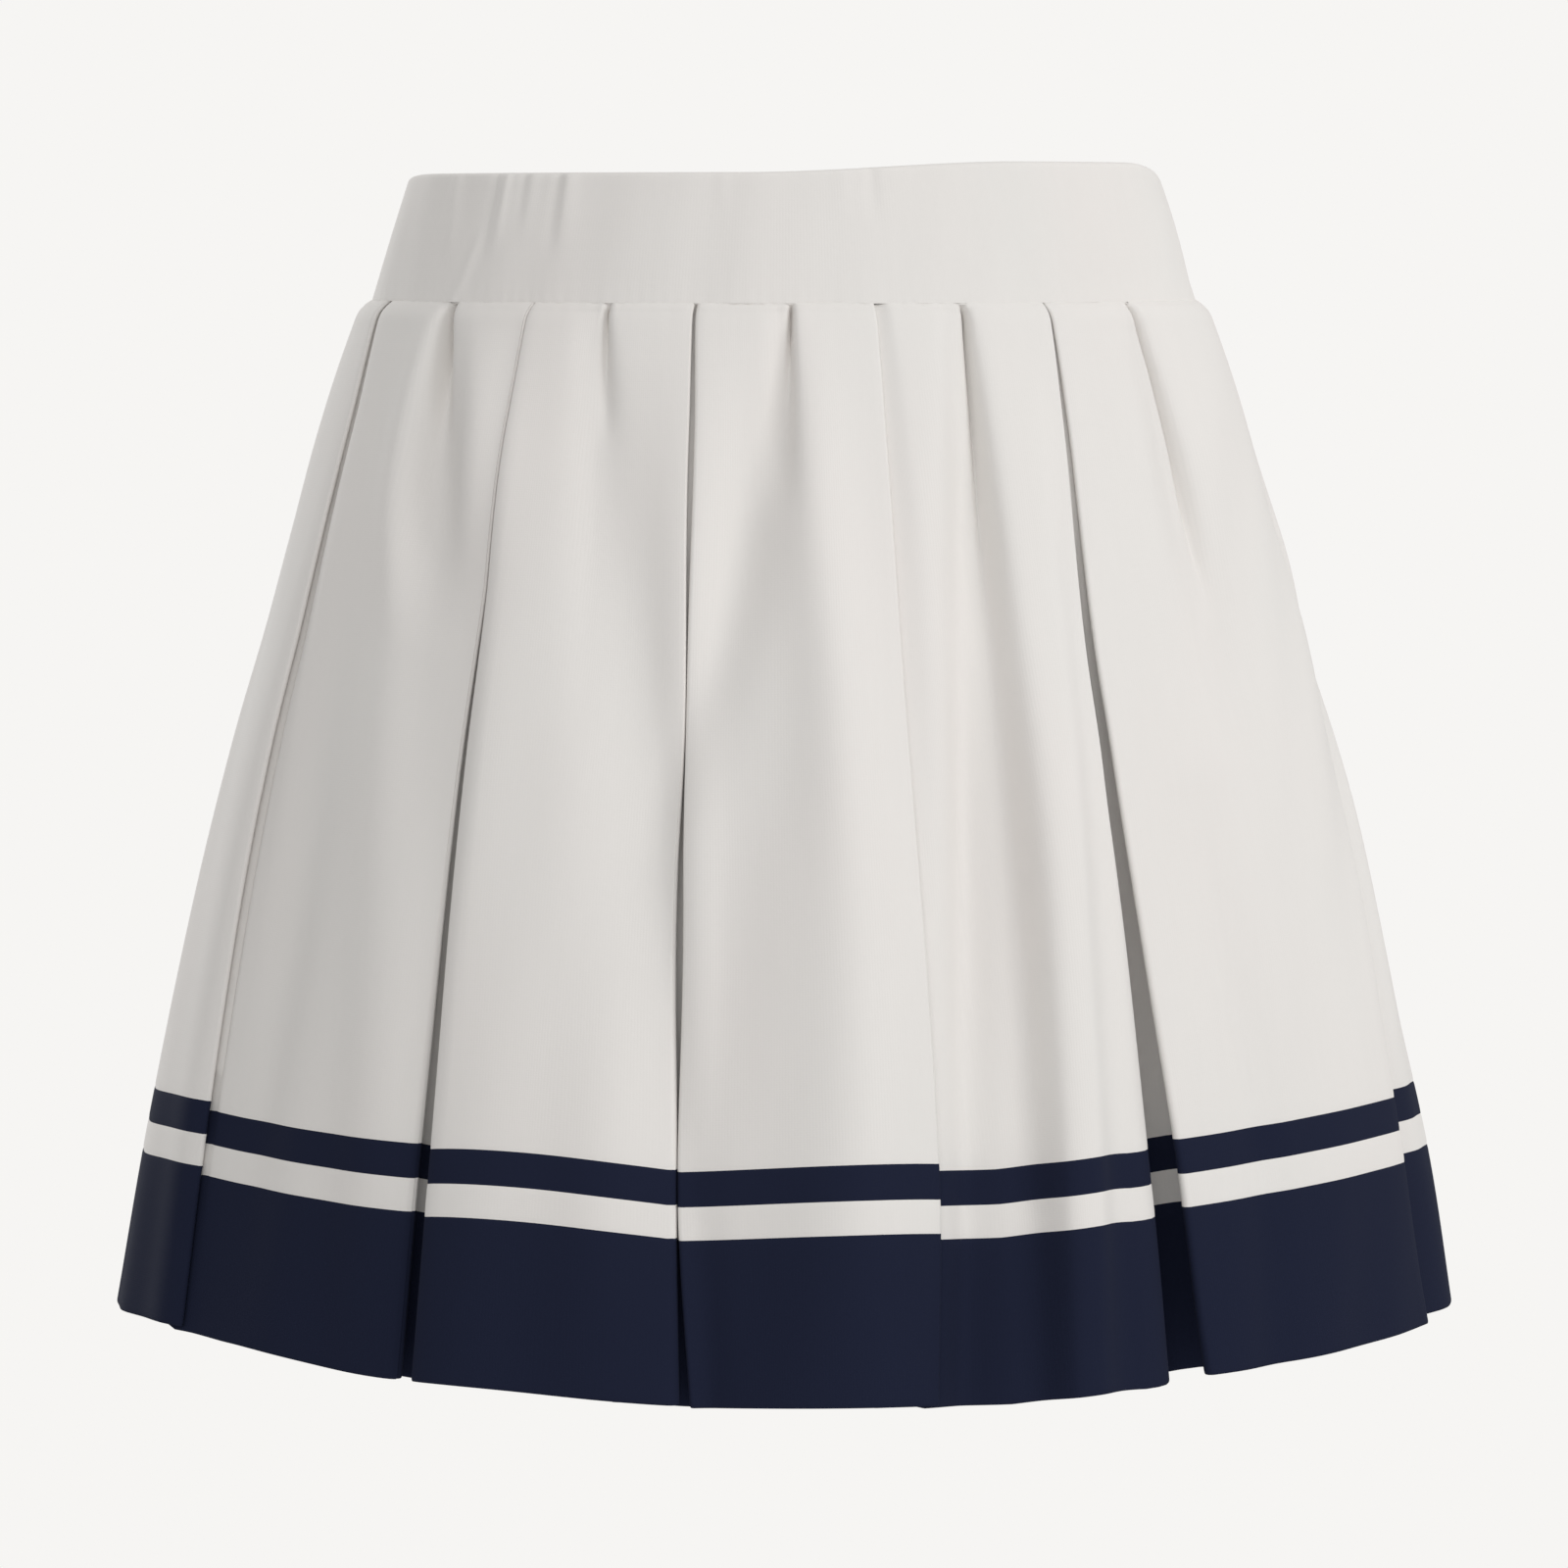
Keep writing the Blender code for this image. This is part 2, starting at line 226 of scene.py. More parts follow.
class Form:
    """The level outlines of a cloth at its rows, with the tables that turn bearings into arcs and back.

    Its drops and all else that it holds or gives one of for each row are (rows, 1) arrays.
    """

    BEARINGS = np.radians(np.arange(-120.0, 300.25, 0.5))

    def __init__(self, sections: tuple[Section, ...], drops: Array) -> None:
        """Works out the outline of each row.

        Args:
            sections: the table of outlines.
            drops: one drop for each row.
        """
        self.drops = drops[:, None]
        knots, *measures = np.array([astuple(section) for section in sections]).T
        curves = (through(self.drops, knots, values) for values in measures)
        self.half_width, self.half_depth, self.pinch = curves
        x, y = self.outline(self.BEARINGS[None, :])
        steps = np.hypot(np.diff(x, axis=1), np.diff(y, axis=1))
        arcs = np.concatenate([np.zeros((len(drops), 1)), np.cumsum(steps, axis=1)], axis=1)
        middle = int(np.argmin(np.abs(self.BEARINGS)))
        self.arcs = arcs - arcs[:, middle : middle + 1]

    def outline(self, bearing: Array) -> tuple[Array, Array]:
        """The outline's x and y at bearings in radians."""
        sine, cosine = np.sin(bearing), np.cos(bearing)
        return self.half_width * sine, -self.half_depth * cosine * (1.0 - self.pinch * sine * sine)

    def arc_at(self, bearing: Array | float) -> Array:
        """The arc of each row's bearing in degrees."""
        wanted = np.broadcast_to(np.radians(bearing), self.drops.shape)
        return np.array([np.interp(b, self.BEARINGS, arcs) for b, arcs in zip(wanted, self.arcs)])

    def place(self, arc: Array, level: Array, height: Array) -> Array:
        """Points of the cloth.

        The outward direction is the outline's own: (dy, -dx) over its length, where dx and dy are the
        outline's derivatives by bearing. A point is outline + outward * level, at z = height.

        Args:
            arc: (rows, columns) arcs.
            level: (rows, columns) levels.
            height: (rows, columns) heights above the origin.

        Returns:
            (rows, columns, 3) points.
        """
        bearing = np.stack([np.interp(a, arcs, self.BEARINGS) for a, arcs in zip(arc, self.arcs)])
        x, y = self.outline(bearing)
        sine, cosine = np.sin(bearing), np.cos(bearing)
        along_x = self.half_width * cosine
        along_y = self.half_depth * sine * (1.0 - self.pinch * (sine * sine - 2.0 * cosine * cosine))
        length = np.hypot(along_x, along_y)
        return np.stack([x + along_y / length * level, y - along_x / length * level, height], axis=-1)


@dataclass(frozen=True)
class Run:
    """Some neighbouring columns of cloth: their arcs, levels and lifts, each (rows, columns), or (rows, 1)
    where the columns have it in common."""

    arc: Array
    level: Array
    lift: Array

    FOLD_STEPS = 7
    LAYER_STEPS = 5
    LAYER_SPAN = (0.2, 0.8)

    @classmethod
    def fold(cls, edge: Array, way: int, level_in: Array, level_out: Array, lift: Array) -> "Run":
        """Columns round a fold: half a circle from level_in to level_out whose outermost point is at edge.

        arc = edge - way * radius * (1 - cos t) and level = middle + half the step * sin t, for t from -90 to
        +90 degrees.

        Args:
            edge: the arc of the fold's edge in each row.
            way: +1 where the cloth comes in towards growing arcs, else -1.
            level_in: the level that the cloth comes in at.
            level_out: the level that it leaves at.
            lift: the lift of each row.

        Returns:
            The fold's columns.
        """
        turn = np.linspace(-math.pi / 2, math.pi / 2, cls.FOLD_STEPS)
        half, middle = (level_out - level_in) / 2, (level_in + level_out) / 2
        return cls(edge - way * np.abs(half) * (1.0 - np.cos(turn)), middle + half * np.sin(turn), lift)

    @classmethod
    def layer(cls, start: Array, reach: Array, level: Array, lift_from: Array, lift_to: Array) -> "Run":
        """A folded layer's flat part: columns over the middle of the way from start to start + reach.

        Its lift turns from one value to the other late, as share^4, and so no hidden layer hangs out below.

        Args:
            start: the arc that the layer starts at in each row.
            reach: how far it reaches, with its sign.
            level: its level.
            lift_from: the lift where it starts.
            lift_to: the lift where it ends.

        Returns:
            The layer's columns.
        """
        share = np.linspace(0.0, 1.0, cls.LAYER_STEPS)
        return cls(start + reach * blend(cls.LAYER_SPAN, share), level, blend((lift_from, lift_to), share**4))

    def turned(self) -> "Run":
        """The same columns in the opposite order."""
        return Run(self.arc[:, ::-1], self.level[:, ::-1], self.lift[:, ::-1])


@dataclass(frozen=True)
class Crease:
    """A soft ridge or trough that runs down the cloth.

    Across itself it is height * exp(-(distance / width)^2), with a width of its own on each side. Bearings
    are in degrees and heights in millimetres, each at its top, middle and end. A height above 0 stands out.
    Widths are in millimetres, at its top and end, to the left and to the right of its line.
    """

    drop_from: float
    drop_to: float
    bearings: Triple
    heights: Triple
    left: Pair
    right: Pair

    KNOTS = (0.0, 0.5, 1.0)
    NOTCH_WIDTH = 2.0

    @property
    def notch(self) -> bool:
        """Whether it is one of the narrow notches that start at the waist seam."""
        return self.drop_from == BAND_HEIGHT and self.left[0] < self.NOTCH_WIDTH

    def share(self, form: Form) -> Array:
        """How far down the crease each row lies, 0 at its top and 1 at its end."""
        return (form.drops - self.drop_from) / (self.drop_to - self.drop_from)

    def line(self, form: Form) -> Array:
        """The arc of the crease's line in each row. Past its ends the line keeps its bearing."""
        return form.arc_at(through(self.share(form), self.KNOTS, self.bearings))

    def relief(self, form: Form, arc: Array) -> Array:
        """How far the crease moves the cloth out at each point.

        Args:
            form: the outlines of the rows.
            arc: (rows, columns) arcs.

        Returns:
            (rows, columns) levels to add.
        """
        share = self.share(form)
        inside = (share >= 0.0) & (share <= 1.0)
        height = through(share, self.KNOTS, self.heights) * inside * MM
        widths = [through(share, (0.0, 1.0), side) * MM for side in (self.left, self.right)]
        distance = arc - self.line(form)
        return height * bell(distance, np.where(distance < 0.0, *widths))


@dataclass(frozen=True)
class Pleat:
    """A pressed pleat.

    Bearings are those of its edge, or of the middle of its gap, at the drops of PLEAT_DROPS. The rest is in
    millimetres: under, how far the cloth is folded back at the waist and at the hem; pitch, the spacing of
    the layers at both; lifts, how far the cloth left and right of the edge is drawn up at the last two
    LIFT_DROPS, from nothing at the first; bow, how much further up the middle of the panel at its right hangs
    there; gap, the opening at the drops of GAP_DROPS; roll, how far the gap's left edge curls in at the hem;
    hollow, how much deeper than its layers the strip in the gap lies there or, where there is no gap, the
    cloth at the foot of the edge lies at the waist.
    """

    way: Way
    bearings: tuple[float, ...]
    under: Pair
    pitch: Pair
    lift_left: Pair
    lift_right: Pair
    bow: Pair = (0.0, 0.0)
    gap: tuple[float, ...] = ()
    roll: float = 0.0
    hollow: float = 0.0

    PLEAT_DROPS = (BAND_HEIGHT, 0.0800, 0.1650, UPPER_STRIPE_DROP, HEM_DROP)
    LIFT_DROPS = (0.1000, UPPER_STRIPE_DROP, HEM_DROP)
    GAP_DROPS = (BAND_HEIGHT, 0.0900, 0.1650, 0.2350, UPPER_STRIPE_DROP, HEM_DROP)
    EASE = (6.0 * MM, 26.0 * MM)  # arc over which cloth comes back up beside an edge, at waist and hem
    EASE_STEPS = np.linspace(0.22, 1.0, 11) ** 2
    FOOT_WIDTH = 1.8 * MM
    ROLL_SPAN = (0.375, 1.0)  # shares of the way down over which a gap's edge rolls in
    HOLLOW_SPAN = (2 / 13, 12 / 13)  # and over which its strip grows hollow
    ROLL_STEPS = 5
    ROLL_REACH = 1.6  # arc of the roll, as a share of its depth
    LEAST_REACH = 1.0 * MM
    STRIP_STEPS = 17
    STRIP_REACH = 0.8  # share of the folded layers that the strip reaches behind
    STRIP_FOLLOWS = 0.5  # share of the roll that the strip's middle lies deeper by
    SAG = 0.17

    @classmethod
    def lift(cls, drops: Array, values: Pair) -> Array:
        """A lift that grows from 0 at the first of LIFT_DROPS to two values in millimetres at the others."""
        return through(drops, cls.LIFT_DROPS, (0.0, *values)) * MM

    def runs(self, form: Form) -> list[Run]:
        """The pleat's columns from its left to its right."""
        share = (form.drops - BAND_HEIGHT) / (HEM_DROP - BAND_HEIGHT)
        centre = form.arc_at(through(form.drops, self.PLEAT_DROPS, self.bearings))
        under, pitch = blend(self.under, share) * MM, blend(self.pitch, share) * MM
        left, right = self.lift(form.drops, self.lift_left), self.lift(form.drops, self.lift_right)
        if self.way is Way.INVERTED:
            half = (through(form.drops, self.GAP_DROPS, self.gap) * MM + CLOTH) / 2
            return self.inverted(share, centre, half, under, pitch, left, right)
        ease = blend(self.EASE, share) * self.EASE_STEPS
        foot = self.hollow * MM * (1.0 - share) * bell(ease, self.FOOT_WIDTH)
        back_up = -2.0 * pitch * (1.0 - smooth(self.EASE_STEPS)) - foot
        if self.way is Way.LEFT_OVER_RIGHT:
            return [
                *self.left_under(centre, under, pitch, left, np.zeros_like(pitch)),
                Run.layer(centre - under, under, -2 * pitch, left, right),
                Run(centre + ease, back_up, right),
            ]
        return [
            Run(centre - ease, back_up, left).turned(),
            Run.layer(centre + under, -under, -2 * pitch, right, left).turned(),
            *self.right_under(centre, under, pitch, right),
        ]

    @staticmethod
    def left_under(edge: Array, under: Array, pitch: Array, lift: Array, curl: Array) -> list[Run]:
        """Cloth that comes from the left and is folded under.

        Args:
            edge: the arc of its edge.
            under: how far it is folded back.
            pitch: the spacing of the layers.
            lift: its lift.
            curl: how deep the edge lies.

        Returns:
            Its edge, the layer behind it and the fold at that layer's end.
        """
        return [
            Run.fold(edge, +1, -curl, -curl - pitch, lift),
            Run.layer(edge, -under, -pitch, lift, lift),
            Run.fold(edge - under, -1, -pitch, -2 * pitch, lift),
        ]

    @staticmethod
    def right_under(edge: Array, under: Array, pitch: Array, lift: Array) -> list[Run]:
        """Cloth that comes from under its own edge to the right: left_under mirrored, without a curl."""
        return [
            Run.fold(edge + under, +1, -2 * pitch, -pitch, lift),
            Run.layer(edge + under, -under, -pitch, lift, lift),
            Run.fold(edge, -1, -pitch, np.zeros_like(pitch), lift),
        ]

    def inverted(
        self, share: Array, centre: Array, half: Array, under: Array, pitch: Array, left: Array, right: Array
    ) -> list[Run]:
        """The columns of an inverted pleat.

        The strip in the gap hangs back like the bottom of a bowl, level = -2 pitch - depth * (1 - t^2) with t
        from -1 to 1 across it, where the depth is the hollow and half the curl. It sags by SAG times its
        depth behind the face times 1 - t^2. The left side rolls in along a quarter circle before its edge.

        Args:
            share: how far down the skirt each row lies, 0 at the waist seam and 1 at the hem.
            centre: the arc of the gap's middle.
            half: from there to the outermost middle of the cloth at each edge.
            under: how far the cloth is folded back on each side.
            pitch: the spacing of the layers.
            left: the lift of the cloth left of the gap.
            right: the lift of the cloth right of it.

        Returns:
            Its runs from left to right.
        """
        curl = self.roll * MM * eased(share, *self.ROLL_SPAN)
        hollow = self.hollow * MM * eased(share, *self.HOLLOW_SPAN)
        start, end = centre - half, centre + half
        turn = np.linspace(0.0, math.pi / 2, self.ROLL_STEPS)[:-1]
        reach = pitch / 2 + np.maximum(curl * self.ROLL_REACH, self.LEAST_REACH)
        across = np.linspace(-1.0, 1.0, self.STRIP_STEPS)
        bowl = 1.0 - across**2
        level = -2 * pitch - (hollow + curl * self.STRIP_FOLLOWS) * bowl
        lift = (right + left) / 2 + (right - left) / 2 * across + self.SAG * level * bowl
        return [
            Run(start - reach * (1.0 - np.sin(turn)), -curl * (1.0 - np.cos(turn)), left),
            *self.left_under(start, under, pitch, left, curl),
            Run(centre + (half + under * self.STRIP_REACH) * across, level, lift),
            *self.right_under(end, under, pitch, right),
        ]


def fill(node: Node, inputs: dict[str | int, object]) -> Node:
    """Fills a node's inputs and returns it. A socket is linked, and anything else is the input's value."""
    for name, value in inputs.items():
        if isinstance(value, Socket):
            node.id_data.links.new(value, node.inputs[name])
        else:
            node.inputs[name].default_value = value
    return node


def add_node(tree: Tree, kind: str, inputs: dict[str | int, object], **settings: object) -> Node:
    """Adds a shader node of a kind, gives it its settings and then fills its inputs."""
    node = tree.nodes.new(f"ShaderNode{kind}")
    for name, value in settings.items():
        setattr(node, name, value)
    return fill(node, inputs)


def add_object(name: str, data: bpy.types.ID) -> bpy.types.Object:
    """Adds an object to the scene."""
    thing = bpy.data.objects.new(name, data)
    bpy.context.scene.collection.objects.link(thing)
    return thing


def new_group(name: str, inputs: dict[str, str], outputs: dict[str, str]) -> Tree:
    """An empty shader node group with named sockets.

    Args:
        name: the group's name.
        inputs: socket types by name.
        outputs: socket types by name.

    Returns:
        The group, with its input and output nodes in place.
    """
    group = bpy.data.node_groups.new(name, "ShaderNodeTree")
    for direction, sockets in (("INPUT", inputs), ("OUTPUT", outputs)):
        for socket, kind in sockets.items():
            group.interface.new_socket(name=socket, in_out=direction, socket_type=kind)
    group.nodes.new("NodeGroupInput").name = "in"
    group.nodes.new("NodeGroupOutput").name = "out"
    return group


@dataclass(frozen=True)
class Value:
    """A number that flows through a node tree. Sums and products with it are Math nodes of that tree."""

    socket: Socket

    def made(self, operation: str, *others: "Value | float") -> "Value":
        """What a Math node makes of this value, and of the other where the operation takes two."""
        values = [value.socket if isinstance(value, Value) else value for value in (self, *others)]
        node = add_node(self.socket.id_data, "Math", dict(enumerate(values)), operation=operation)
        return Value(node.outputs[0])

    def __add__(self, other: "Value | float") -> "Value":
        """The sum of both."""
        return self.made("ADD", other)

    def __sub__(self, other: "Value | float") -> "Value":
        """The difference of both."""
        return self.made("SUBTRACT", other)

    def __mul__(self, other: "Value | float") -> "Value":
        """The product of both."""
        return self.made("MULTIPLY", other)


@dataclass(frozen=True)
class Grain:
    """A noise that swings round 0.5, with so many patches to the metre along each axis, finer detail on top,
    and an offset that gives it a pattern of its own."""

    scale: Triple
    detail: float
    offset: float

    def over(self, vector: Socket) -> Value:
        """The noise at the place that a vector gives."""
        place = {"Vector": vector, "Scale": self.scale, "Location": (self.offset, self.offset, self.offset)}
        mapped = add_node(vector.id_data, "Mapping", place).outputs["Vector"]
        noise = add_node(vector.id_data, "TexNoise", {"Vector": mapped, "Scale": 1.0, "Detail": self.detail})
        return Value(noise.outputs["Fac"])


RIB_PITCH = 0.9 * MM
ROW_PITCH = 0.7 * MM
YARN = Grain((1400.0, 900.0, 1.0), detail=2.0, offset=3.1)
SLUB = Grain((420.0, 60.0, 1.0), detail=2.0, offset=7.7)
MOTTLE = Grain((26.0, 26.0, 8.0), detail=2.0, offset=1.3)
WARMTH = Grain((18.0, 18.0, 7.0), detail=1.0, offset=5.9)
COOLER = (0.985, 1.0, 0.995, 1.0)
WARMER = (1.01, 0.995, 0.99, 1.0)


@cache
def stitch_group() -> Tree:
    """The knit's face on the cloth's own UV map, in metres.

    Ribs of stitches run down the cloth and rows of them across it, each |sin| of its place: stitch = rib
    times (0.5 row + 0.5). Uneven yarn, finer across than down, and longer slubs lie on top: height = 0.45
    stitch + 0.6 yarn + 0.35 slub. The tone output, 0.5 height + 0.5 slub, is painted shade that darkens the
    stitches' hollows where the height is low, together with the slubs' own tone.
    """
    group = new_group("knit_stitches", {}, {"Height": "NodeSocketFloat", "HollowShadeAndSlubTone": "NodeSocketFloat"})
    place = add_node(group, "UVMap", {}, uv_map="cloth").outputs["UV"]
    split = add_node(group, "SeparateXYZ", {"Vector": place})
    rib, row = (
        (Value(split.outputs[axis]) * (math.pi / pitch)).made("SINE").made("ABSOLUTE")
        for axis, pitch in (("X", RIB_PITCH), ("Y", ROW_PITCH))
    )
    stitch = rib * (row * 0.5 + 0.5)
    yarn, slub = YARN.over(place), SLUB.over(place)
    height = stitch * 0.45 + yarn * 0.6 + slub * 0.35
    # painted shade: the colour darkens where the knit lies low, in the stitches' hollows; the slubs add their
    # own tone
    hollow_shade_and_slub_tone = height * 0.5 + slub * 0.5
    fill(group.nodes["out"], {"Height": height.socket, "HollowShadeAndSlubTone": hollow_shade_and_slub_tone.socket})
    return group


@cache
def mottle_group() -> Tree:
    """Soft changes of tone and of matt face over the cloth, on Object coordinates.

    The tone is 1 + swing * (0.7 mottle + 0.5 hollow shade - 0.6), where the hollow shade is the stitches'
    painted shade in their hollows with the slubs' tone, and mottle is a noise of patches about 40 mm wide and
    120 mm tall.
    by 0.12 (mottle - 0.5).
    """
    colour, number = "NodeSocketColor", "NodeSocketFloat"
    group = new_group(
        "cloth_mottle",
        {"Colour": colour, "Swing": number, "Roughness": number, "HollowShadeAndSlubTone": number},
        {"Colour": colour, "Roughness": number},
    )
    source = group.nodes["in"].outputs
    place = add_node(group, "TexCoord", {}).outputs["Object"]
    mottle, warmth = MOTTLE.over(place), WARMTH.over(place)
    # the stitches' painted hollow shade and slub tone darken the colour here
    tone = (mottle * 0.7 + Value(source["HollowShadeAndSlubTone"]) * 0.5 - 0.6) * Value(source["Swing"]) + 1.0
    toned = add_node(group, "VectorMath", {0: source["Colour"], "Scale": tone.socket}, operation="SCALE")
    tint = add_node(group, "Mix", {"Factor": warmth.socket, "A": COOLER, "B": WARMER}, data_type="RGBA")
    both = {0: toned.outputs[0], 1: tint.outputs["Result"]}
    tinted = add_node(group, "VectorMath", both, operation="MULTIPLY")
    roughness = Value(source["Roughness"]) + (mottle - 0.5) * 0.12
    fill(group.nodes["out"], {"Colour": tinted.outputs[0], "Roughness": roughness.socket})
    return group


@dataclass(frozen=True)
class Knit:
    """A finish: a smooth double knit with a soft matt face."""

    name: str
    colour: Triple
    slot: str
    roughness: float = 0.88
    sheen: float = 0.12
    sheen_roughness: float = 0.45
    sheen_tint: Triple = (1.0, 0.98, 0.95)
    specular: float = 0.25
    relief: float = 0.07 * MM
    relief_strength: float = 0.55
    tone_swing: float = 0.05

    @cache
    def material(self) -> bpy.types.Material:
        """The finish as a material: the knit's stitches give relief and a little colour, the mottle a soft
        tone."""
        material = bpy.data.materials.new(self.name)
        material.use_nodes = True
        tree = material.node_tree
        stitches = add_node(tree, "Group", {}, node_tree=stitch_group()).outputs
        base = {"Colour": (*self.colour, 1.0), "Swing": self.tone_swing, "Roughness": self.roughness}
        mottle = add_node(tree, "Group", {}, node_tree=mottle_group())
        # the stitches pass on their painted shade in the hollows and the slubs' tone
        fill(mottle, base | {"HollowShadeAndSlubTone": stitches["HollowShadeAndSlubTone"]})
        depth = {"Strength": self.relief_strength, "Distance": self.relief, "Height": stitches["Height"]}
        bump = add_node(tree, "Bump", depth)
        shader = {
            "Base Color": mottle.outputs["Colour"],
            "Roughness": mottle.outputs["Roughness"],
            "Normal": bump.outputs["Normal"],
            "Metallic": 0.0,
            "Specular IOR Level": self.specular,
            "Sheen Weight": self.sheen,
            "Sheen Roughness": self.sheen_roughness,
            "Sheen Tint": (*self.sheen_tint, 1.0),
        }
        fill(tree.nodes["Principled BSDF"], shader)
        return material


CREAM = Knit("cream_double_knit", (0.79, 0.763, 0.738), "cream_cloth")
NAVY = Knit(
    "navy_double_knit", (0.0137, 0.0172, 0.0375), "navy_cloth", sheen=0.01, relief=0.08 * MM, specular=0.05
)


def cloth_normals(middle: Array) -> Array:
    """The outward unit normals of a grid: the step down the rows crossed with the step along the columns."""
    normal = np.cross(np.gradient(middle, axis=0), np.gradient(middle, axis=1))
    return normal / np.linalg.norm(normal, axis=-1, keepdims=True)


def length_along(points: Array) -> Array:
    """How far each of a line of points lies from the first, along the line."""
    return np.concatenate([[0.0], np.cumsum(np.linalg.norm(np.diff(points, axis=0), axis=-1))])


def columns_across(middle: Array) -> Array:
    """Where each column lies across the cloth, measured along the middle row from the grid's own middle
    column."""
    lengths = length_along(middle[len(middle) // 2])
    return lengths - lengths[len(lengths) // 2]


@dataclass(frozen=True)
class Cloth:
    """A piece of cloth: the (rows, columns, 3) grid of its middle and the unit normals there, the thickness
    of each row, and where each column lies across the cloth and each row down it."""

    middle: Array
    normals: Array
    thickness: Array
    across: Array
    down: Array

    SHARP = math.radians(52.0)

    @property
    def widths(self) -> Array:
        """The length of cloth along each row."""
        return np.linalg.norm(np.diff(self.middle, axis=1), axis=-1).sum(axis=1)

    @property
    def area(self) -> float:
        """The area of one face of the cloth."""
        return float(np.trapz(self.widths, self.down))

    def mesh(self, name: str) -> bpy.types.Mesh:
        """The cloth as a closed mesh.

        Its two faces are middle +- normal * thickness / 2, and walls close it along its four edges. The UV
        map holds metres of cloth.

        Args:
            name: the mesh's name.

        Returns:
            The mesh.
        """
        rows, columns = self.middle.shape[:2]
        half = self.normals * (self.thickness / 2)[:, None, None]
        points = np.concatenate([self.middle + half, self.middle - half]).reshape(-1, 3)
        out = np.arange(rows * columns).reshape(rows, columns)
        within = out + rows * columns
        # Each pair holds the lines of points above and below a row of faces, as seen from outside.
        faces = [(out[:-1], out[1:]), (within[1:], within[:-1])]
        ends = [(within[0], out[0]), (out[-1], within[-1])]
        sides = [(out[:, 0], within[:, 0]), (within[:, -1], out[:, -1])]
        quads = [
            np.stack([top[..., :-1], low[..., :-1], low[..., 1:], top[..., 1:]], axis=-1).reshape(-1, 4)
            for top, low in faces + ends + sides
        ]
        corners = np.concatenate(quads).ravel()
        mesh = bpy.data.meshes.new(name)
        mesh.vertices.add(len(points))
        mesh.vertices.foreach_set("co", points.astype(np.float32).ravel())
        mesh.loops.add(len(corners))
        mesh.loops.foreach_set("vertex_index", corners.astype(np.int32))
        mesh.polygons.add(len(corners) // 4)
        mesh.polygons.foreach_set("loop_start", np.arange(0, len(corners), 4, dtype=np.int32))
        mesh.update(calc_edges=True)
        place = np.stack(np.broadcast_arrays(self.across, -self.down[:, None]), axis=-1).reshape(-1, 2)
        mesh.uv_layers.new(name="cloth")
        flat = np.tile(place, (2, 1))[corners].astype(np.float32).ravel()
        mesh.uv_layers["cloth"].data.foreach_set("uv", flat)
        mesh.shade_smooth()
        mesh.set_sharp_from_angle(angle=self.SHARP)
        mesh.validate()
        return mesh

    def dress(self, node: str, finish: Knit) -> bpy.types.Object:
        """Makes the piece that stands for a CAD node.

        Args:
            node: the CAD node's name.
            finish: what the piece is dressed in.

        Returns:
            The piece, which rides on the skirt.
        """
        name = f"{node}_cloth"
        piece = add_object(name, self.mesh(name))
        piece.data.materials.append(finish.material())
        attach(piece, BODY)
        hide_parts(node)
        report = (node, 2 * len(piece.data.polygons), self.widths.min(), self.widths.max(), self.area)
        log.info("%s: %d triangles, cloth %.3f to %.3f m wide, %.4f m2", *report)
        return piece


@dataclass(frozen=True)
class Strip:
    """One of the pieces that the pleated half is sewn from, from its top down."""

    name: str
    drop_from: float
    drop_to: float
    rows: int
    finish: Knit
    flat_width: float


